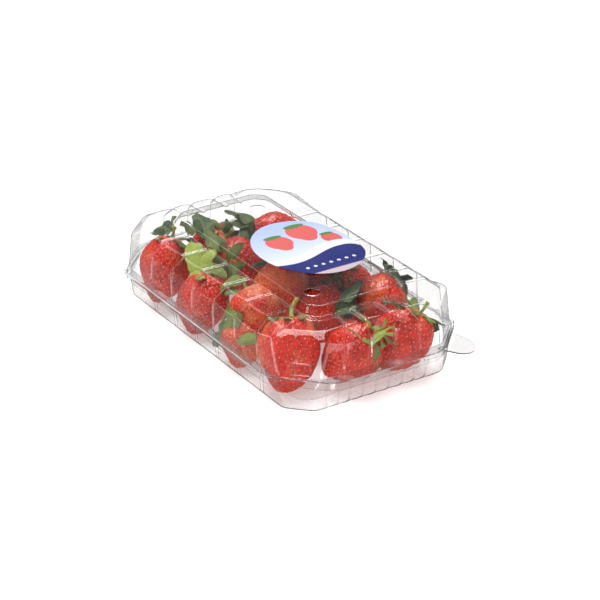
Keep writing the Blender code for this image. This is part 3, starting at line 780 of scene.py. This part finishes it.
def bends(rings, radii, steps=5):
    """Sections between the given ones, so that the film turns each corner in a soft bend."""
    made = [rings[0]]
    for before, ring, after, radius in zip(rings, rings[1:], rings[2:], radii):
        columns = [bent(a, p, b, radius, steps) for a, p, b in zip(before, ring, after)]
        made += [list(section) for section in zip(*columns)]
    return made + [rings[-1]]


def extruded_shell(name, rings):
    """A circle's edge, moved to the first section and extruded from section to section."""
    deselect()
    count = len(rings[0])
    bpy.ops.mesh.primitive_circle_add(vertices=count, radius=1.0, fill_type="NOTHING")
    shell = named(bpy.context.object, name)
    for vert, point in zip(shell.data.vertices, rings[0]):
        vert.co = point
    order = {tuple(vert.co): index for index, vert in enumerate(shell.data.vertices)}
    for ring in rings[1:]:
        bpy.ops.object.mode_set(mode="EDIT")
        bpy.ops.mesh.extrude_region_move()
        bpy.ops.object.mode_set(mode="OBJECT")
        fresh = shell.data.vertices[-count:]
        following = {}
        for vert in fresh:
            place = order[tuple(vert.co)]
            vert.co = ring[place]
            following[tuple(vert.co)] = place
        order = following
    return shell


def select_where(obj, test, kind="VERT"):
    """Select the vertices, edges or faces that pass a test, in edit mode."""
    bpy.ops.object.mode_set(mode="EDIT")
    bpy.ops.mesh.select_mode(type=kind)
    bpy.ops.mesh.select_all(action="DESELECT")
    mesh = bmesh.from_edit_mesh(obj.data)
    items = {"VERT": mesh.verts, "EDGE": mesh.edges, "FACE": mesh.faces}[kind]
    for item in items:
        if test(item):
            item.select_set(True)
    mesh.select_flush_mode()
    bmesh.update_edit_mesh(obj.data)


def film_wall(obj, thickness):
    """Turn the faces up or outwards, then give the film its wall on the other side."""
    work_on(obj)
    bpy.ops.object.mode_set(mode="EDIT")
    bpy.ops.mesh.select_all(action="SELECT")
    bpy.ops.mesh.normals_make_consistent(inside=False)
    bpy.ops.object.mode_set(mode="OBJECT")
    level = sum(face.normal.z * face.area for face in obj.data.polygons)
    if level < 0:
        bpy.ops.object.mode_set(mode="EDIT")
        bpy.ops.mesh.flip_normals()
        bpy.ops.object.mode_set(mode="OBJECT")
    wall = obj.modifiers.new("Wall", "SOLIDIFY")
    wall.thickness = thickness
    wall.offset = -1
    wall.use_even_offset = True
    settle(obj)


def raise_pad(lid):
    """Small raised plate low on the facet nearest to the photograph's camera."""
    work_on(lid)
    out = Vector((1, -1, 0)).normalized()
    along = Vector((1, 1, 0)).normalized()
    select_where(lid, lambda face: abs(face.normal.dot(out)) > 0.97
                 and face.calc_center_median().dot(out) > 0
                 and Z_LID_RIM < face.calc_center_median().z < Z_SHOULDER
                 and face.calc_area() > FACET_AREA, "FACE")
    bpy.ops.mesh.inset(thickness=1 * MM, depth=0.0)
    mesh = bmesh.from_edit_mesh(lid.data)
    plate = next(face for face in mesh.faces if face.select)
    middle, normal = plate.calc_center_median(), plate.normal.copy()
    for vert in plate.verts:
        across = PAD_AT + math.copysign(PAD_HALF, (vert.co - middle).dot(along))
        height = (PAD_TOP if vert.co.z > middle.z else PAD_LOW) - middle.z
        spot = along * across + Vector((0, 0, height))
        vert.co = middle + spot - out * (spot.dot(normal) / out.dot(normal))
    bmesh.update_edit_mesh(lid.data)
    bpy.ops.mesh.inset(thickness=PAD_EDGE, depth=math.copysign(PAD_RAISE, normal.dot(out)))
    bpy.ops.object.mode_set(mode="OBJECT")


def vented_panel(lid):
    """Close the lid's panel, leaving two round vents with raised beads."""
    work_on(lid)
    bpy.ops.object.mode_set(mode="EDIT")
    for x, y in VENTS:
        bpy.ops.mesh.primitive_circle_add(vertices=40, radius=VENT_RADIUS + VENT_BEAD[0][0],
                                          location=(x, y, Z_PANEL))
    level = Z_PANEL - 0.01 * MM
    select_where(lid, lambda edge: (edge.is_boundary or edge.is_wire)
                 and min(vert.co.z for vert in edge.verts) > level, "EDGE")
    bpy.ops.mesh.fill(use_beauty=True)
    for (outer, outer_z), (inner, inner_z) in zip(VENT_BEAD, VENT_BEAD[1:]):
        for x, y in VENTS:
            reach = VENT_RADIUS + outer
            select_where(lid, lambda edge: edge.is_boundary and all(
                abs(math.hypot(vert.co.x - x, vert.co.y - y) - reach) < 0.02 * MM
                for vert in edge.verts), "EDGE")
            bpy.ops.mesh.extrude_edges_move()
            share = (VENT_RADIUS + inner) / reach
            bpy.ops.transform.resize(value=(share, share, 1.0), center_override=(x, y, Z_PANEL))
            bpy.ops.transform.translate(value=(0, 0, inner_z - outer_z))
    bpy.ops.object.mode_set(mode="OBJECT")


def lid_rings(film):
    """Key sections of the lid from its lip to its panel."""
    def sides(widen):
        near = grooved_run(NEAR_GROOVES, film.groove_half * widen)
        far = grooved_run(mirrored(FAR_GROOVES), film.groove_half * widen)
        ends = grooved_run(END_GROOVES, film.groove_half * widen)
        return {"right": (10 * MM, 30 * MM, ends), "left": (10 * MM, 30 * MM, ends),
                "near": (52 * MM, 70 * MM, near), "far": (52 * MM, 70 * MM, far)}

    deep, bulge = film.groove_depth, film.bulge
    levels = [
        dict(RIM, z=Z_LID_LIP),
        dict(RIM, z=Z_LID_RIM),
        dict(WALL, z=Z_LID_RIM, inward=deep * 0.8),
        dict(SHOULDER, z=Z_SHOULDER, corner_z=Z_FACET_TOP, inward=deep, bulge=bulge),
        dict(RING, z=Z_RING, inward=deep * 0.7, down=deep * 0.7, bulge=bulge),
        dict(PANEL, hx=PANEL["hx"] + 1 * MM, hy=PANEL["hy"] + 1 * MM, z=Z_RING, down=deep),
        dict(PANEL, hx=PANEL["hx"] - 1 * MM, hy=PANEL["hy"] - 1 * MM, z=Z_PANEL),
        dict(PANEL, hx=PANEL["hx"] - 5 * MM, hy=PANEL["hy"] - 5 * MM, z=Z_PANEL),
    ]
    widths = (1.0, 1.0, 0.8, 1.0, 1.7, 1.4, 1.0, 1.0)
    rings = [outline(level, sides(widen)) for level, widen in zip(levels, widths)]
    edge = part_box("hinge")[1].y + 0.3 * MM
    flat = Z_LID_RIM - 0.6 * MM
    for ring in rings[:2]:
        for point in ring:
            point.y = max(point.y, edge)
            if point.y < -RIM["hy"] + RIM["cut"] + 8 * MM:
                point.z = max(point.z, flat)
    return rings


def tray_rings(film):
    """Key sections of the tray from its turned-down rim to its floor."""
    near = grooved_run(NEAR_GROOVES, film.groove_half, crowned=False)
    far = grooved_run(mirrored(FAR_GROOVES), film.groove_half, crowned=False)
    ends = fluted_run()
    sides = {"right": (16 * MM, 38 * MM, ends), "left": (16 * MM, 38 * MM, ends),
             "near": (52 * MM, 70 * MM, near), "far": (52 * MM, 70 * MM, far)}
    rim = dict(RIM, hx=RIM["hx"] - 0.8 * MM, hy=RIM["hy"] - 1.1 * MM)
    step = FLUTE_DEPTH + 1.2 * MM
    ring = 10 * MM
    foot_z = film.wall

    def foot(inset, z, **more):
        return dict(FOOT, hx=FOOT["hx"] - inset, hy=FOOT["hy"] - inset, z=z, **more)

    levels = [
        dict(rim, z=Z_RIM_LOW),
        dict(rim, z=Z_TRAY_RIM),
        dict(WALL, hx=WALL["hx"] - 1 * MM, hy=WALL["hy"] - 1 * MM, z=Z_TRAY_RIM),
        foot(0, Z_RIM_LOW - 1.5 * MM, inward=FLUTE_DEPTH * 0.6),
        foot(0.8 * MM, 2.0 * MM, inward=FLUTE_DEPTH, long_inward=0.6 * MM),
        foot(step, foot_z),
        dict(foot(ring, foot_z), cut=6 * MM),
        dict(foot(ring + 1 * MM, Z_FLOOR + film.wall), cut=6 * MM),
        dict(foot(ring + 5 * MM, Z_FLOOR + film.wall), cut=6 * MM),
    ]
    return [outline(level, sides) for level in levels]


class PUNNET_OT_lid(bpy.types.Operator):
    """Model the lid's shell with its grooves, shoulder, panel, vents and raised plate"""
    bl_idname = "punnet.lid"
    bl_label = "Lid"

    def execute(self, context):
        film = settings("film")
        lid = extruded_shell("lid_shell", bends(lid_rings(film), LID_BENDS))
        raise_pad(lid)
        vented_panel(lid)
        film_wall(lid, film.wall)
        smooth(lid, FILM_CREASE)
        even_flats(lid)
        finish(lid, clear_film(), "lid", ["lid"])
        return {"FINISHED"}


class PUNNET_OT_tray(bpy.types.Operator):
    """Model the tray's shell with its rim, fluted walls, foot ring, floor and tongue"""
    bl_idname = "punnet.tray"
    bl_label = "Tray"

    def execute(self, context):
        film = settings("film")
        tray = extruded_shell("tray_shell", bends(tray_rings(film), TRAY_BENDS))
        bpy.ops.object.mode_set(mode="EDIT")
        bpy.ops.mesh.edge_face_add()
        bpy.ops.object.mode_set(mode="OBJECT")
        film_wall(tray, film.wall)
        tongue = self.tongue()
        join = tray.modifiers.new("Tongue", "BOOLEAN")
        join.operation = "UNION"
        join.object = tongue
        settle(tray)
        bpy.data.objects.remove(tongue)
        smooth(tray, FILM_CREASE)
        even_flats(tray)
        finish(tray, clear_film(), "tray", ["tray"])
        return {"FINISHED"}

    def tongue(self):
        """Rounded tongue, drooping outwards from the rim's corner away from the hinge."""
        half, straight = TONGUE_HALF, TONGUE_STRAIGHT
        deselect()
        bpy.ops.mesh.primitive_cylinder_add(vertices=64, radius=half, depth=TONGUE_THICK)
        tongue = named(bpy.context.object, "tongue_shape")
        for vert in tongue.data.vertices:
            if vert.co.x > 0:
                vert.co.x = vert.co.x * (TONGUE_REACH - straight) / half + straight
            else:
                vert.co.x = -3.5 * MM
                vert.co.y *= 1.15
        corner = Vector((RIM["hx"] - RIM["cut"] / 2, RIM["hy"] - RIM["cut"] / 2,
                         Z_RIM_LOW + 0.7 * MM))
        turn = (Matrix.Rotation(math.radians(45), 4, "Z")
                @ Matrix.Rotation(math.radians(TONGUE_DROOP), 4, "Y"))
        tongue.matrix_world = Matrix.Translation(corner - Vector((0.8, 0.8, 0)) * MM) @ turn
        settle(tongue)
        return tongue


class PUNNET_OT_hinge(bpy.types.Operator):
    """Model the hinge's bead along the near rim"""
    bl_idname = "punnet.hinge"
    bl_label = "Hinge"

    def execute(self, context):
        low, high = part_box("hinge")
        centre = (low + high) / 2
        deselect()
        bpy.ops.mesh.primitive_cylinder_add(
            vertices=24, radius=(high.z - low.z) / 2, depth=high.x - low.x, location=centre,
            rotation=(0, math.radians(90), 0))
        bead = named(bpy.context.object, "hinge_bead")
        settle(bead)
        round_ends = bead.modifiers.new("Round ends", "BEVEL")
        round_ends.width = 0.3 * MM
        round_ends.segments = 3
        settle(bead)
        smooth(bead, FILM_CREASE)
        finish(bead, clear_film(), "tray", ["hinge"])
        return {"FINISHED"}


class PUNNET_OT_label(bpy.types.Operator):
    """Model the oval label that lies on the panel and reaches over its far edge"""
    bl_idname = "punnet.label"
    bl_label = "Label"

    def execute(self, context):
        look = settings("label")
        low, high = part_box("label")
        x, y = (low.x + high.x) / 2, (low.y + high.y) / 2
        deselect()
        bpy.ops.mesh.primitive_circle_add(vertices=128, radius=1.0, fill_type="NGON")
        label = named(bpy.context.object, "label_sheet")
        bpy.ops.object.mode_set(mode="EDIT")
        bpy.ops.mesh.select_all(action="SELECT")
        for _ in range(9):
            bpy.ops.mesh.inset(thickness=0.1, depth=0.0)
        bpy.ops.object.mode_set(mode="OBJECT")
        for vert in label.data.vertices:
            px, py = x + vert.co.x * look.half_x, y + vert.co.y * look.half_y
            over = max(0.0, py - PANEL["hy"] + 2 * MM)
            ripple = noise.noise(Vector((px, py, 0)) * 60) * LABEL_RIPPLE
            vert.co = (px, py, Z_PANEL + LABEL_LIFT - LABEL_DROOP * over * over + ripple)
        wall = label.modifiers.new("Paper", "SOLIDIFY")
        wall.thickness = LABEL_THICK
        wall.offset = 1
        settle(label)
        smooth(label, FILM_CREASE)
        finish(label, label_paper(), "lid", ["label"])
        return {"FINISHED"}


# Fruit

def keep_inside(spot, margin):
    """Press a point that would cross the film back inside it."""
    height = min(1.0, max(0.0, spot.z / Z_LID_RIM))
    inset = SIDE_ROOM_LOW + (SIDE_ROOM_RIM - SIDE_ROOM_LOW) * height + margin
    half_x, half_y = FOOT["hx"] - inset, FOOT["hy"] - inset
    corner = FOOT["hx"] + FOOT["hy"] - FOOT["cut"] - inset * 1.5
    roof = ROOF_ROOM + margin
    lean = max(0.0, spot.z - Z_SHOULDER + 2 * MM) * 1.3
    x = max(-half_x, min(half_x, spot.x))
    y = max(-half_y + lean, min(half_y - lean, spot.y))
    over = abs(x) + abs(y) - corner
    if over > 0:
        x -= math.copysign(over / 2, x)
        y -= math.copysign(over / 2, y)
    under_panel = abs(x) < PANEL["hx"] - 3 * MM and abs(y) < PANEL["hy"] - 3 * MM
    top = (Z_PANEL if under_panel else Z_RING) - roof
    floor = Z_FLOOR + FLOOR_ROOM + margin
    return Vector((x, y, max(floor, min(top, spot.z))))


def berry_frame(berry):
    """Where a berry lies: +Z of its own frame points to its calyx."""
    azimuth, elevation = math.radians(berry.azimuth), math.radians(berry.elevation)
    tip = Vector((math.cos(azimuth) * math.cos(elevation),
                  math.sin(azimuth) * math.cos(elevation), math.sin(elevation)))
    turn = Vector((0, 0, -1)).rotation_difference(tip).to_matrix().to_4x4()
    return Matrix.Translation(Vector((berry.x, berry.y, berry.z)) * MM) @ turn


def berry_point(way, width, length, phase):
    """A point of the berry's skin in the direction way, before the pits of its seeds."""
    height = way.z
    taper = 1.0 if height > 0.1 else 1.0 - 0.28 * (0.1 - height) ** 1.3
    lobes = 1.0 + 0.09 * noise.noise(way * 1.3 + Vector((phase, 0, 0)))
    radius = math.hypot(way.x, way.y)
    dimple = 0.09 * length * math.exp(-(radius / 0.28) ** 2) if height > 0 else 0.0
    return Vector((way.x * width / 2 * taper * lobes, way.y * width / 2 * taper * lobes,
                   height * length / 2 * lobes - dimple))


def seed_ways(count, rng):
    """Directions of the seeds, spread in a spiral and a little uneven."""
    ways = []
    for index in range(count):
        height = 0.86 - 1.83 * (index + 0.5) / count + rng.uniform(-0.01, 0.01)
        turn = index * GOLDEN_ANGLE + rng.uniform(-0.06, 0.06)
        radius = math.sqrt(max(0.0, 1 - height * height))
        ways.append(Vector((radius * math.cos(turn), radius * math.sin(turn), height)))
    return ways


def make_berry(index, berry, seeds, rng):
    """One berry, with a pit round each seed, and the seeds' places for scatter_seeds."""
    width, length = berry.width * MM, berry.length * MM
    spot = berry_frame(berry)
    phase = index * 7.3
    deselect()
    bpy.ops.mesh.primitive_uv_sphere_add(segments=88, ring_count=60, radius=1.0)
    flesh = named(bpy.context.object, "berry_%02d" % index)
    ways = seed_ways(seeds, rng)
    bases = [berry_point(way, width, length, phase) for way in ways]
    tree = kdtree.KDTree(len(bases))
    for number, base in enumerate(bases):
        tree.insert(base, number)
    tree.balance()
    mesh = flesh.data
    ripe = mesh.attributes.new("ripe", "FLOAT", "POINT")
    # How deep each point lies in a seed's pit, which the flesh paints as shade
    pit = mesh.attributes.new("pit", "FLOAT", "POINT")
    for number, vert in enumerate(mesh.vertices):
        way = vert.co.normalized()
        point = berry_point(way, width, length, phase)
        near = tree.find(point)[2]
        hollow = math.exp(-(near / PIT_REACH) ** 2)
        swell = math.exp(-((near - SWELL_AT) / SWELL_REACH) ** 2)
        point += way * (swell * SWELL_HEIGHT - hollow * PIT_DEPTH)
        vert.co = keep_inside(spot @ point, 0.0)
        shoulder = max(0.0, way.z - 0.62) / 0.38
        tip = max(0.0, -way.z - 0.5)
        sway = 0.25 * noise.noise(way * 1.5 + Vector((0, phase, 0)))
        ripe.data[number].value = berry.ripe + sway + 0.2 * tip - 0.42 * shoulder ** 1.5
        pit.data[number].value = hollow
    places = []
    for way, base in zip(ways, bases):
        out = Vector((way.x / width, way.y / width, way.z / length)).normalized()
        down = (Vector((0, 0, -1)) - out * -out.z).normalized()
        side = out.cross(down)
        turn = Matrix((down, side, out)).transposed().to_4x4()
        place = spot @ Matrix.Translation(base - out * SEED_SUNK) @ turn
        place.translation = keep_inside(place.translation, 0.15 * MM)
        places.append(place)
    return flesh, places


def scatter_seeds(places, rng):
    """Every seed as one mesh: a small drop, modelled once and copied to each place."""
    deselect()
    bpy.ops.mesh.primitive_uv_sphere_add(segments=5, ring_count=3, radius=1.0)
    drop = bpy.context.object
    long, wide, high = SEED_HALVES
    for vert in drop.data.vertices:
        narrow = 1.0 - 0.35 * vert.co.x
        vert.co = (vert.co.x * long, vert.co.y * wide * narrow, vert.co.z * high)
    shape = [vert.co.copy() for vert in drop.data.vertices]
    faces = [list(face.vertices) for face in drop.data.polygons]
    verts, polygons = [], []
    for place in places:
        start = len(verts)
        grow = Matrix.Scale(rng.uniform(0.85, 1.12), 4)
        verts += [place @ (grow @ point) for point in shape]
        polygons += [[start + corner for corner in face] for face in faces]
    bpy.data.objects.remove(drop)
    mesh = bpy.data.meshes.new("seeds")
    mesh.from_pydata(verts, [], polygons)
    seeds = bpy.data.objects.new("seeds", mesh)
    bpy.context.scene.collection.objects.link(seeds)
    smooth(seeds, FRUIT_CREASE)
    return seeds


def leaf_width(along):
    """Width along a leaf as a share of its widest: broad before the middle, pointed at its end."""
    return (0.10 + along) ** 0.55 * (1.0 - along) ** 0.7 * 1.62 + 0.04 * (1 - along)


def make_leaf(place, length, width, lift, curl, tint, rng):
    """One pointed leaf that grows along +X of its place, arched, folded and rippled."""
    deselect()
    bpy.ops.mesh.primitive_grid_add(x_subdivisions=14, y_subdivisions=6, size=1.0,
                                    calc_uvs=True)
    leaf = bpy.context.object
    fold, ripple, phase = rng.uniform(0.1, 0.4), rng.uniform(0.03, 0.08), rng.uniform(0, 6.3)
    twist = rng.uniform(-0.4, 0.4)
    teeth = rng.choice((3, 4, 5))
    path = [(0.0, 0.0)]
    steps = 56
    for step in range(steps):
        slope = math.radians(lift + curl * (step + 0.5) / steps * 2)
        x, z = path[-1]
        path.append((x + math.cos(slope) * length / steps, z + math.sin(slope) * length / steps))
    shade = leaf.data.attributes.new("tint", "FLOAT", "POINT")
    for number, vert in enumerate(leaf.data.vertices):
        along, across = vert.co.x + 0.5, vert.co.y * 2
        x, z = path[round(along * steps)]
        tooth = 1.0 + 0.22 * (1 - abs((along * teeth + 0.3) % 1.0 * 2 - 1)) * abs(across) ** 3
        half = width / 2 * leaf_width(along) * tooth
        wave = ripple * length * math.sin(along * 9 + phase) * across * abs(across)
        turn = twist * along
        y = across * half * math.cos(turn)
        z += across * half * math.sin(turn) - fold * abs(across) * half + wave
        vert.co = keep_inside(place @ Vector((x, y, z)), 0.4 * MM)
        shade.data[number].value = tint + 0.12 * (1 - along) - 0.10 * abs(across)
    return leaf


def leaf_place(start, end, roll):
    """A frame whose +X runs from a leaf's start to its end, turned about that way by its roll."""
    along = (end - start).normalized()
    across = Vector((0, 0, 1)).cross(along).normalized()
    turn = Matrix((along, across, along.cross(across))).transposed().to_4x4()
    return Matrix.Translation(start) @ turn @ Matrix.Rotation(math.radians(roll), 4, "X")


def make_stem(place, length, thickness, tint, rng):
    """Bent stalk that grows along +Z of its place, a little thicker at both ends."""
    deselect()
    bpy.ops.mesh.primitive_cylinder_add(vertices=10, radius=0.5, depth=1.0)
    stem = bpy.context.object
    bpy.ops.object.mode_set(mode="EDIT")
    for cut in (-0.35, -0.2, -0.05, 0.1, 0.25, 0.4):
        bpy.ops.mesh.select_all(action="SELECT")
        bpy.ops.mesh.bisect(plane_co=(0, 0, cut), plane_no=(0, 0, 1))
    bpy.ops.object.mode_set(mode="OBJECT")
    lean, turn = rng.uniform(0.05, 0.22), rng.uniform(0, 2 * math.pi)
    shade = stem.data.attributes.new("tint", "FLOAT", "POINT")
    for number, vert in enumerate(stem.data.vertices):
        along = vert.co.z + 0.5
        thick = (1.0 + 0.5 * (2 * along - 1) ** 4) * thickness
        bow = lean * length * math.sin(math.pi * along)
        point = Vector((vert.co.x * thick + bow * math.cos(turn),
                        vert.co.y * thick + bow * math.sin(turn), along * length))
        vert.co = keep_inside(place @ point, 0.3 * MM)
        shade.data[number].value = tint
    return stem


class PUNNET_OT_berries(bpy.types.Operator):
    """Model the strawberries and their seeds, in place of the heap"""
    bl_idname = "punnet.berries"
    bl_label = "Strawberries"

    def execute(self, context):
        rng = random.Random(11)
        count = settings("fruit").seeds
        berries, places = [], []
        for index, berry in enumerate(BERRIES):
            flesh, spots = make_berry(index, berry, count, rng)
            berries.append(flesh)
            places += spots
        flesh = joined(berries, "strawberry_flesh")
        smooth(flesh, FRUIT_CREASE)
        finish(flesh, strawberry_flesh(), "tray", ["strawberries"])
        seeds = scatter_seeds(places, rng)
        finish(seeds, strawberry_seed(), "tray")
        return {"FINISHED"}


class PUNNET_OT_leaves(bpy.types.Operator):
    """Model each berry's calyx and stalk"""
    bl_idname = "punnet.leaves"
    bl_label = "Leaves"

    def execute(self, context):
        rng = random.Random(23)
        leaves, stems = [], []
        for berry in BERRIES:
            top = berry_frame(berry) @ Matrix.Translation((0, 0, berry.length * MM * 0.43))
            for index in range(berry.leaves):
                turn = 2 * math.pi * index / berry.leaves + rng.uniform(-0.2, 0.2)
                place = (top @ Matrix.Rotation(turn, 4, "Z")
                         @ Matrix.Translation((0.06 * berry.width * MM, 0, 0)))
                leaves.append(make_leaf(
                    place, berry.leaf * rng.uniform(0.8, 1.2) * MM, rng.uniform(5.0, 7.5) * MM,
                    berry.lift + rng.uniform(-14, 14), berry.curl + rng.uniform(-18, 22),
                    berry.tint + rng.uniform(-0.12, 0.12), rng))
            stems.append(make_stem(top, rng.uniform(5, 9) * MM, 1.7 * MM, 0.75, rng))
        for *ends, width, arch, roll, tint in LEAVES:
            start, end = Vector(ends[:3]) * MM, Vector(ends[3:]) * MM
            lift = math.degrees(math.atan(4 * arch))
            leaves.append(make_leaf(
                leaf_place(start, end, roll), (end - start).length, width * MM, lift, -lift,
                tint, rng))
        for *ends, thickness, tint in STALKS:
            start, end = Vector(ends[:3]) * MM, Vector(ends[3:]) * MM
            way = (end - start).to_track_quat("Z", "X").to_matrix().to_4x4()
            stems.append(make_stem(Matrix.Translation(start) @ way, (end - start).length,
                                   thickness * MM, tint, rng))
        foliage = joined(leaves, "leaves")
        work_on(foliage)
        wall = foliage.modifiers.new("Leaf", "SOLIDIFY")
        wall.thickness = 0.3 * MM
        wall.offset = 0
        settle(foliage)
        smooth(foliage, LEAF_CREASE)
        finish(foliage, strawberry_leaf(), "tray")
        stalks = joined(stems, "stalks")
        smooth(stalks, LEAF_CREASE)
        finish(stalks, strawberry_leaf(), "tray")
        return {"FINISHED"}


class PUNNET_OT_stage(bpy.types.Operator):
    """Set up the floor, the lamps, the white surroundings and the camera"""
    bl_idname = "punnet.stage"
    bl_label = "Stage"

    def execute(self, context):
        stage = settings("stage")
        scene = context.scene
        deselect()
        bpy.ops.mesh.primitive_plane_add(size=10.0)
        floor = named(bpy.context.object, "floor")
        floor.data.materials.append(floor_card())
        self.sun("overhead", SUN_WAY, SUN_SPREAD, stage.key)
        self.lamp("side", SIDE_PLACE, SIDE_SIZE, stage.key * 0.5)
        scene.world = self.surroundings(stage.surround)
        scene.camera = self.camera()
        scene.view_settings.view_transform = "Standard"
        scene.cycles.max_bounces = 40
        scene.cycles.transmission_bounces = 40
        scene.cycles.transparent_max_bounces = 24
        scene.cycles.caustics_reflective = False
        scene.cycles.caustics_refractive = False
        return {"FINISHED"}

    def surroundings(self, strength):
        """White all round, but a dim room with bright windows in what is mirrored once."""
        world = bpy.data.worlds.new("surroundings")
        world.use_nodes = True
        tree = world.node_tree
        room = grey(DIM)
        for way, reach, bright in WINDOWS:
            room = blend_colours(tree, self.window(tree, way, reach), room, grey(bright))
        colour = blend_colours(tree, mirrored_share(tree), grey(1.0), room)
        ground = tree.nodes["Background"]
        wire(tree, colour, ground.inputs["Color"])
        plain(ground, Strength=strength)
        return world

    def camera(self):
        lens = bpy.data.cameras.new("camera")
        lens.angle = CAMERA_ANGLE
        lens.sensor_fit = "HORIZONTAL"
        lens.clip_start = 10 * MM
        camera = bpy.data.objects.new("camera", lens)
        camera.location = CAMERA_PLACE
        camera.rotation_euler = CAMERA_TURN
        bpy.context.scene.collection.objects.link(camera)
        return camera

    def window(self, tree, way, reach):
        """1 within reach degrees of the direction way and 0 beyond, with a soft edge."""
        turn = add(tree, "ShaderNodeVectorMath", operation="DOT_PRODUCT")
        wire(tree, add(tree, "ShaderNodeTexCoord").outputs["Generated"], turn.inputs[0])
        turn.inputs[1].default_value = Vector(way).normalized()
        return spread(tree, turn.outputs["Value"], math.cos(math.radians(reach * 1.15)),
                      math.cos(math.radians(reach * 0.85)))

    def sun(self, name, way, spread_degrees, strength):
        """Broad lamp far away in the direction way, which lights the whole floor alike."""
        light = bpy.data.lights.new(name, "SUN")
        light.angle = math.radians(spread_degrees)
        light.energy = strength
        lamp = bpy.data.objects.new(name, light)
        lamp.rotation_euler = Vector(way).to_track_quat("Z", "Y").to_euler()
        lamp.visible_glossy = False
        bpy.context.scene.collection.objects.link(lamp)

    def lamp(self, name, place, size, power):
        """Square soft lamp that faces the punnet."""
        light = bpy.data.lights.new(name, "AREA")
        light.shape = "SQUARE"
        light.size = size
        light.energy = power
        lamp = bpy.data.objects.new(name, light)
        lamp.location = place
        aim = Vector((0, 0, 0.02)) - Vector(place)
        lamp.rotation_euler = aim.to_track_quat("-Z", "Y").to_euler()
        bpy.context.scene.collection.objects.link(lamp)


GROUPS = (("film", PunnetFilm), ("fruit", PunnetFruit), ("label", PunnetLabel),
          ("stage", PunnetStage))
OPERATORS = (PUNNET_OT_stage, PUNNET_OT_tray, PUNNET_OT_lid, PUNNET_OT_hinge,
             PUNNET_OT_label, PUNNET_OT_berries, PUNNET_OT_leaves)


class PUNNET_PT_panel(bpy.types.Panel):
    """Lists the punnet's pieces and settings"""
    bl_idname = "PUNNET_PT_panel"
    bl_label = "Punnet"
    bl_space_type = "VIEW_3D"
    bl_region_type = "UI"
    bl_category = "Punnet"

    def draw(self, context):
        for name, group in GROUPS:
            box = self.layout.box()
            for key in group.__annotations__:
                box.prop(getattr(context.scene, "punnet_" + name), key)
        for operator in OPERATORS:
            self.layout.operator(operator.bl_idname)


def register():
    for name, group in GROUPS:
        bpy.utils.register_class(group)
        setattr(bpy.types.Scene, "punnet_" + name, bpy.props.PointerProperty(type=group))
    for item in (*OPERATORS, PUNNET_PT_panel):
        bpy.utils.register_class(item)


def unregister():
    for item in reversed((*OPERATORS, PUNNET_PT_panel)):
        bpy.utils.unregister_class(item)
    for name, group in reversed(GROUPS):
        delattr(bpy.types.Scene, "punnet_" + name)
        bpy.utils.unregister_class(group)


def main():
    register()
    bpy.ops.punnet.stage()
    bpy.ops.punnet.tray()
    bpy.ops.punnet.lid()
    bpy.ops.punnet.hinge()
    bpy.ops.punnet.label()
    bpy.ops.punnet.berries()
    bpy.ops.punnet.leaves()


if __name__ == "__main__":
    main()
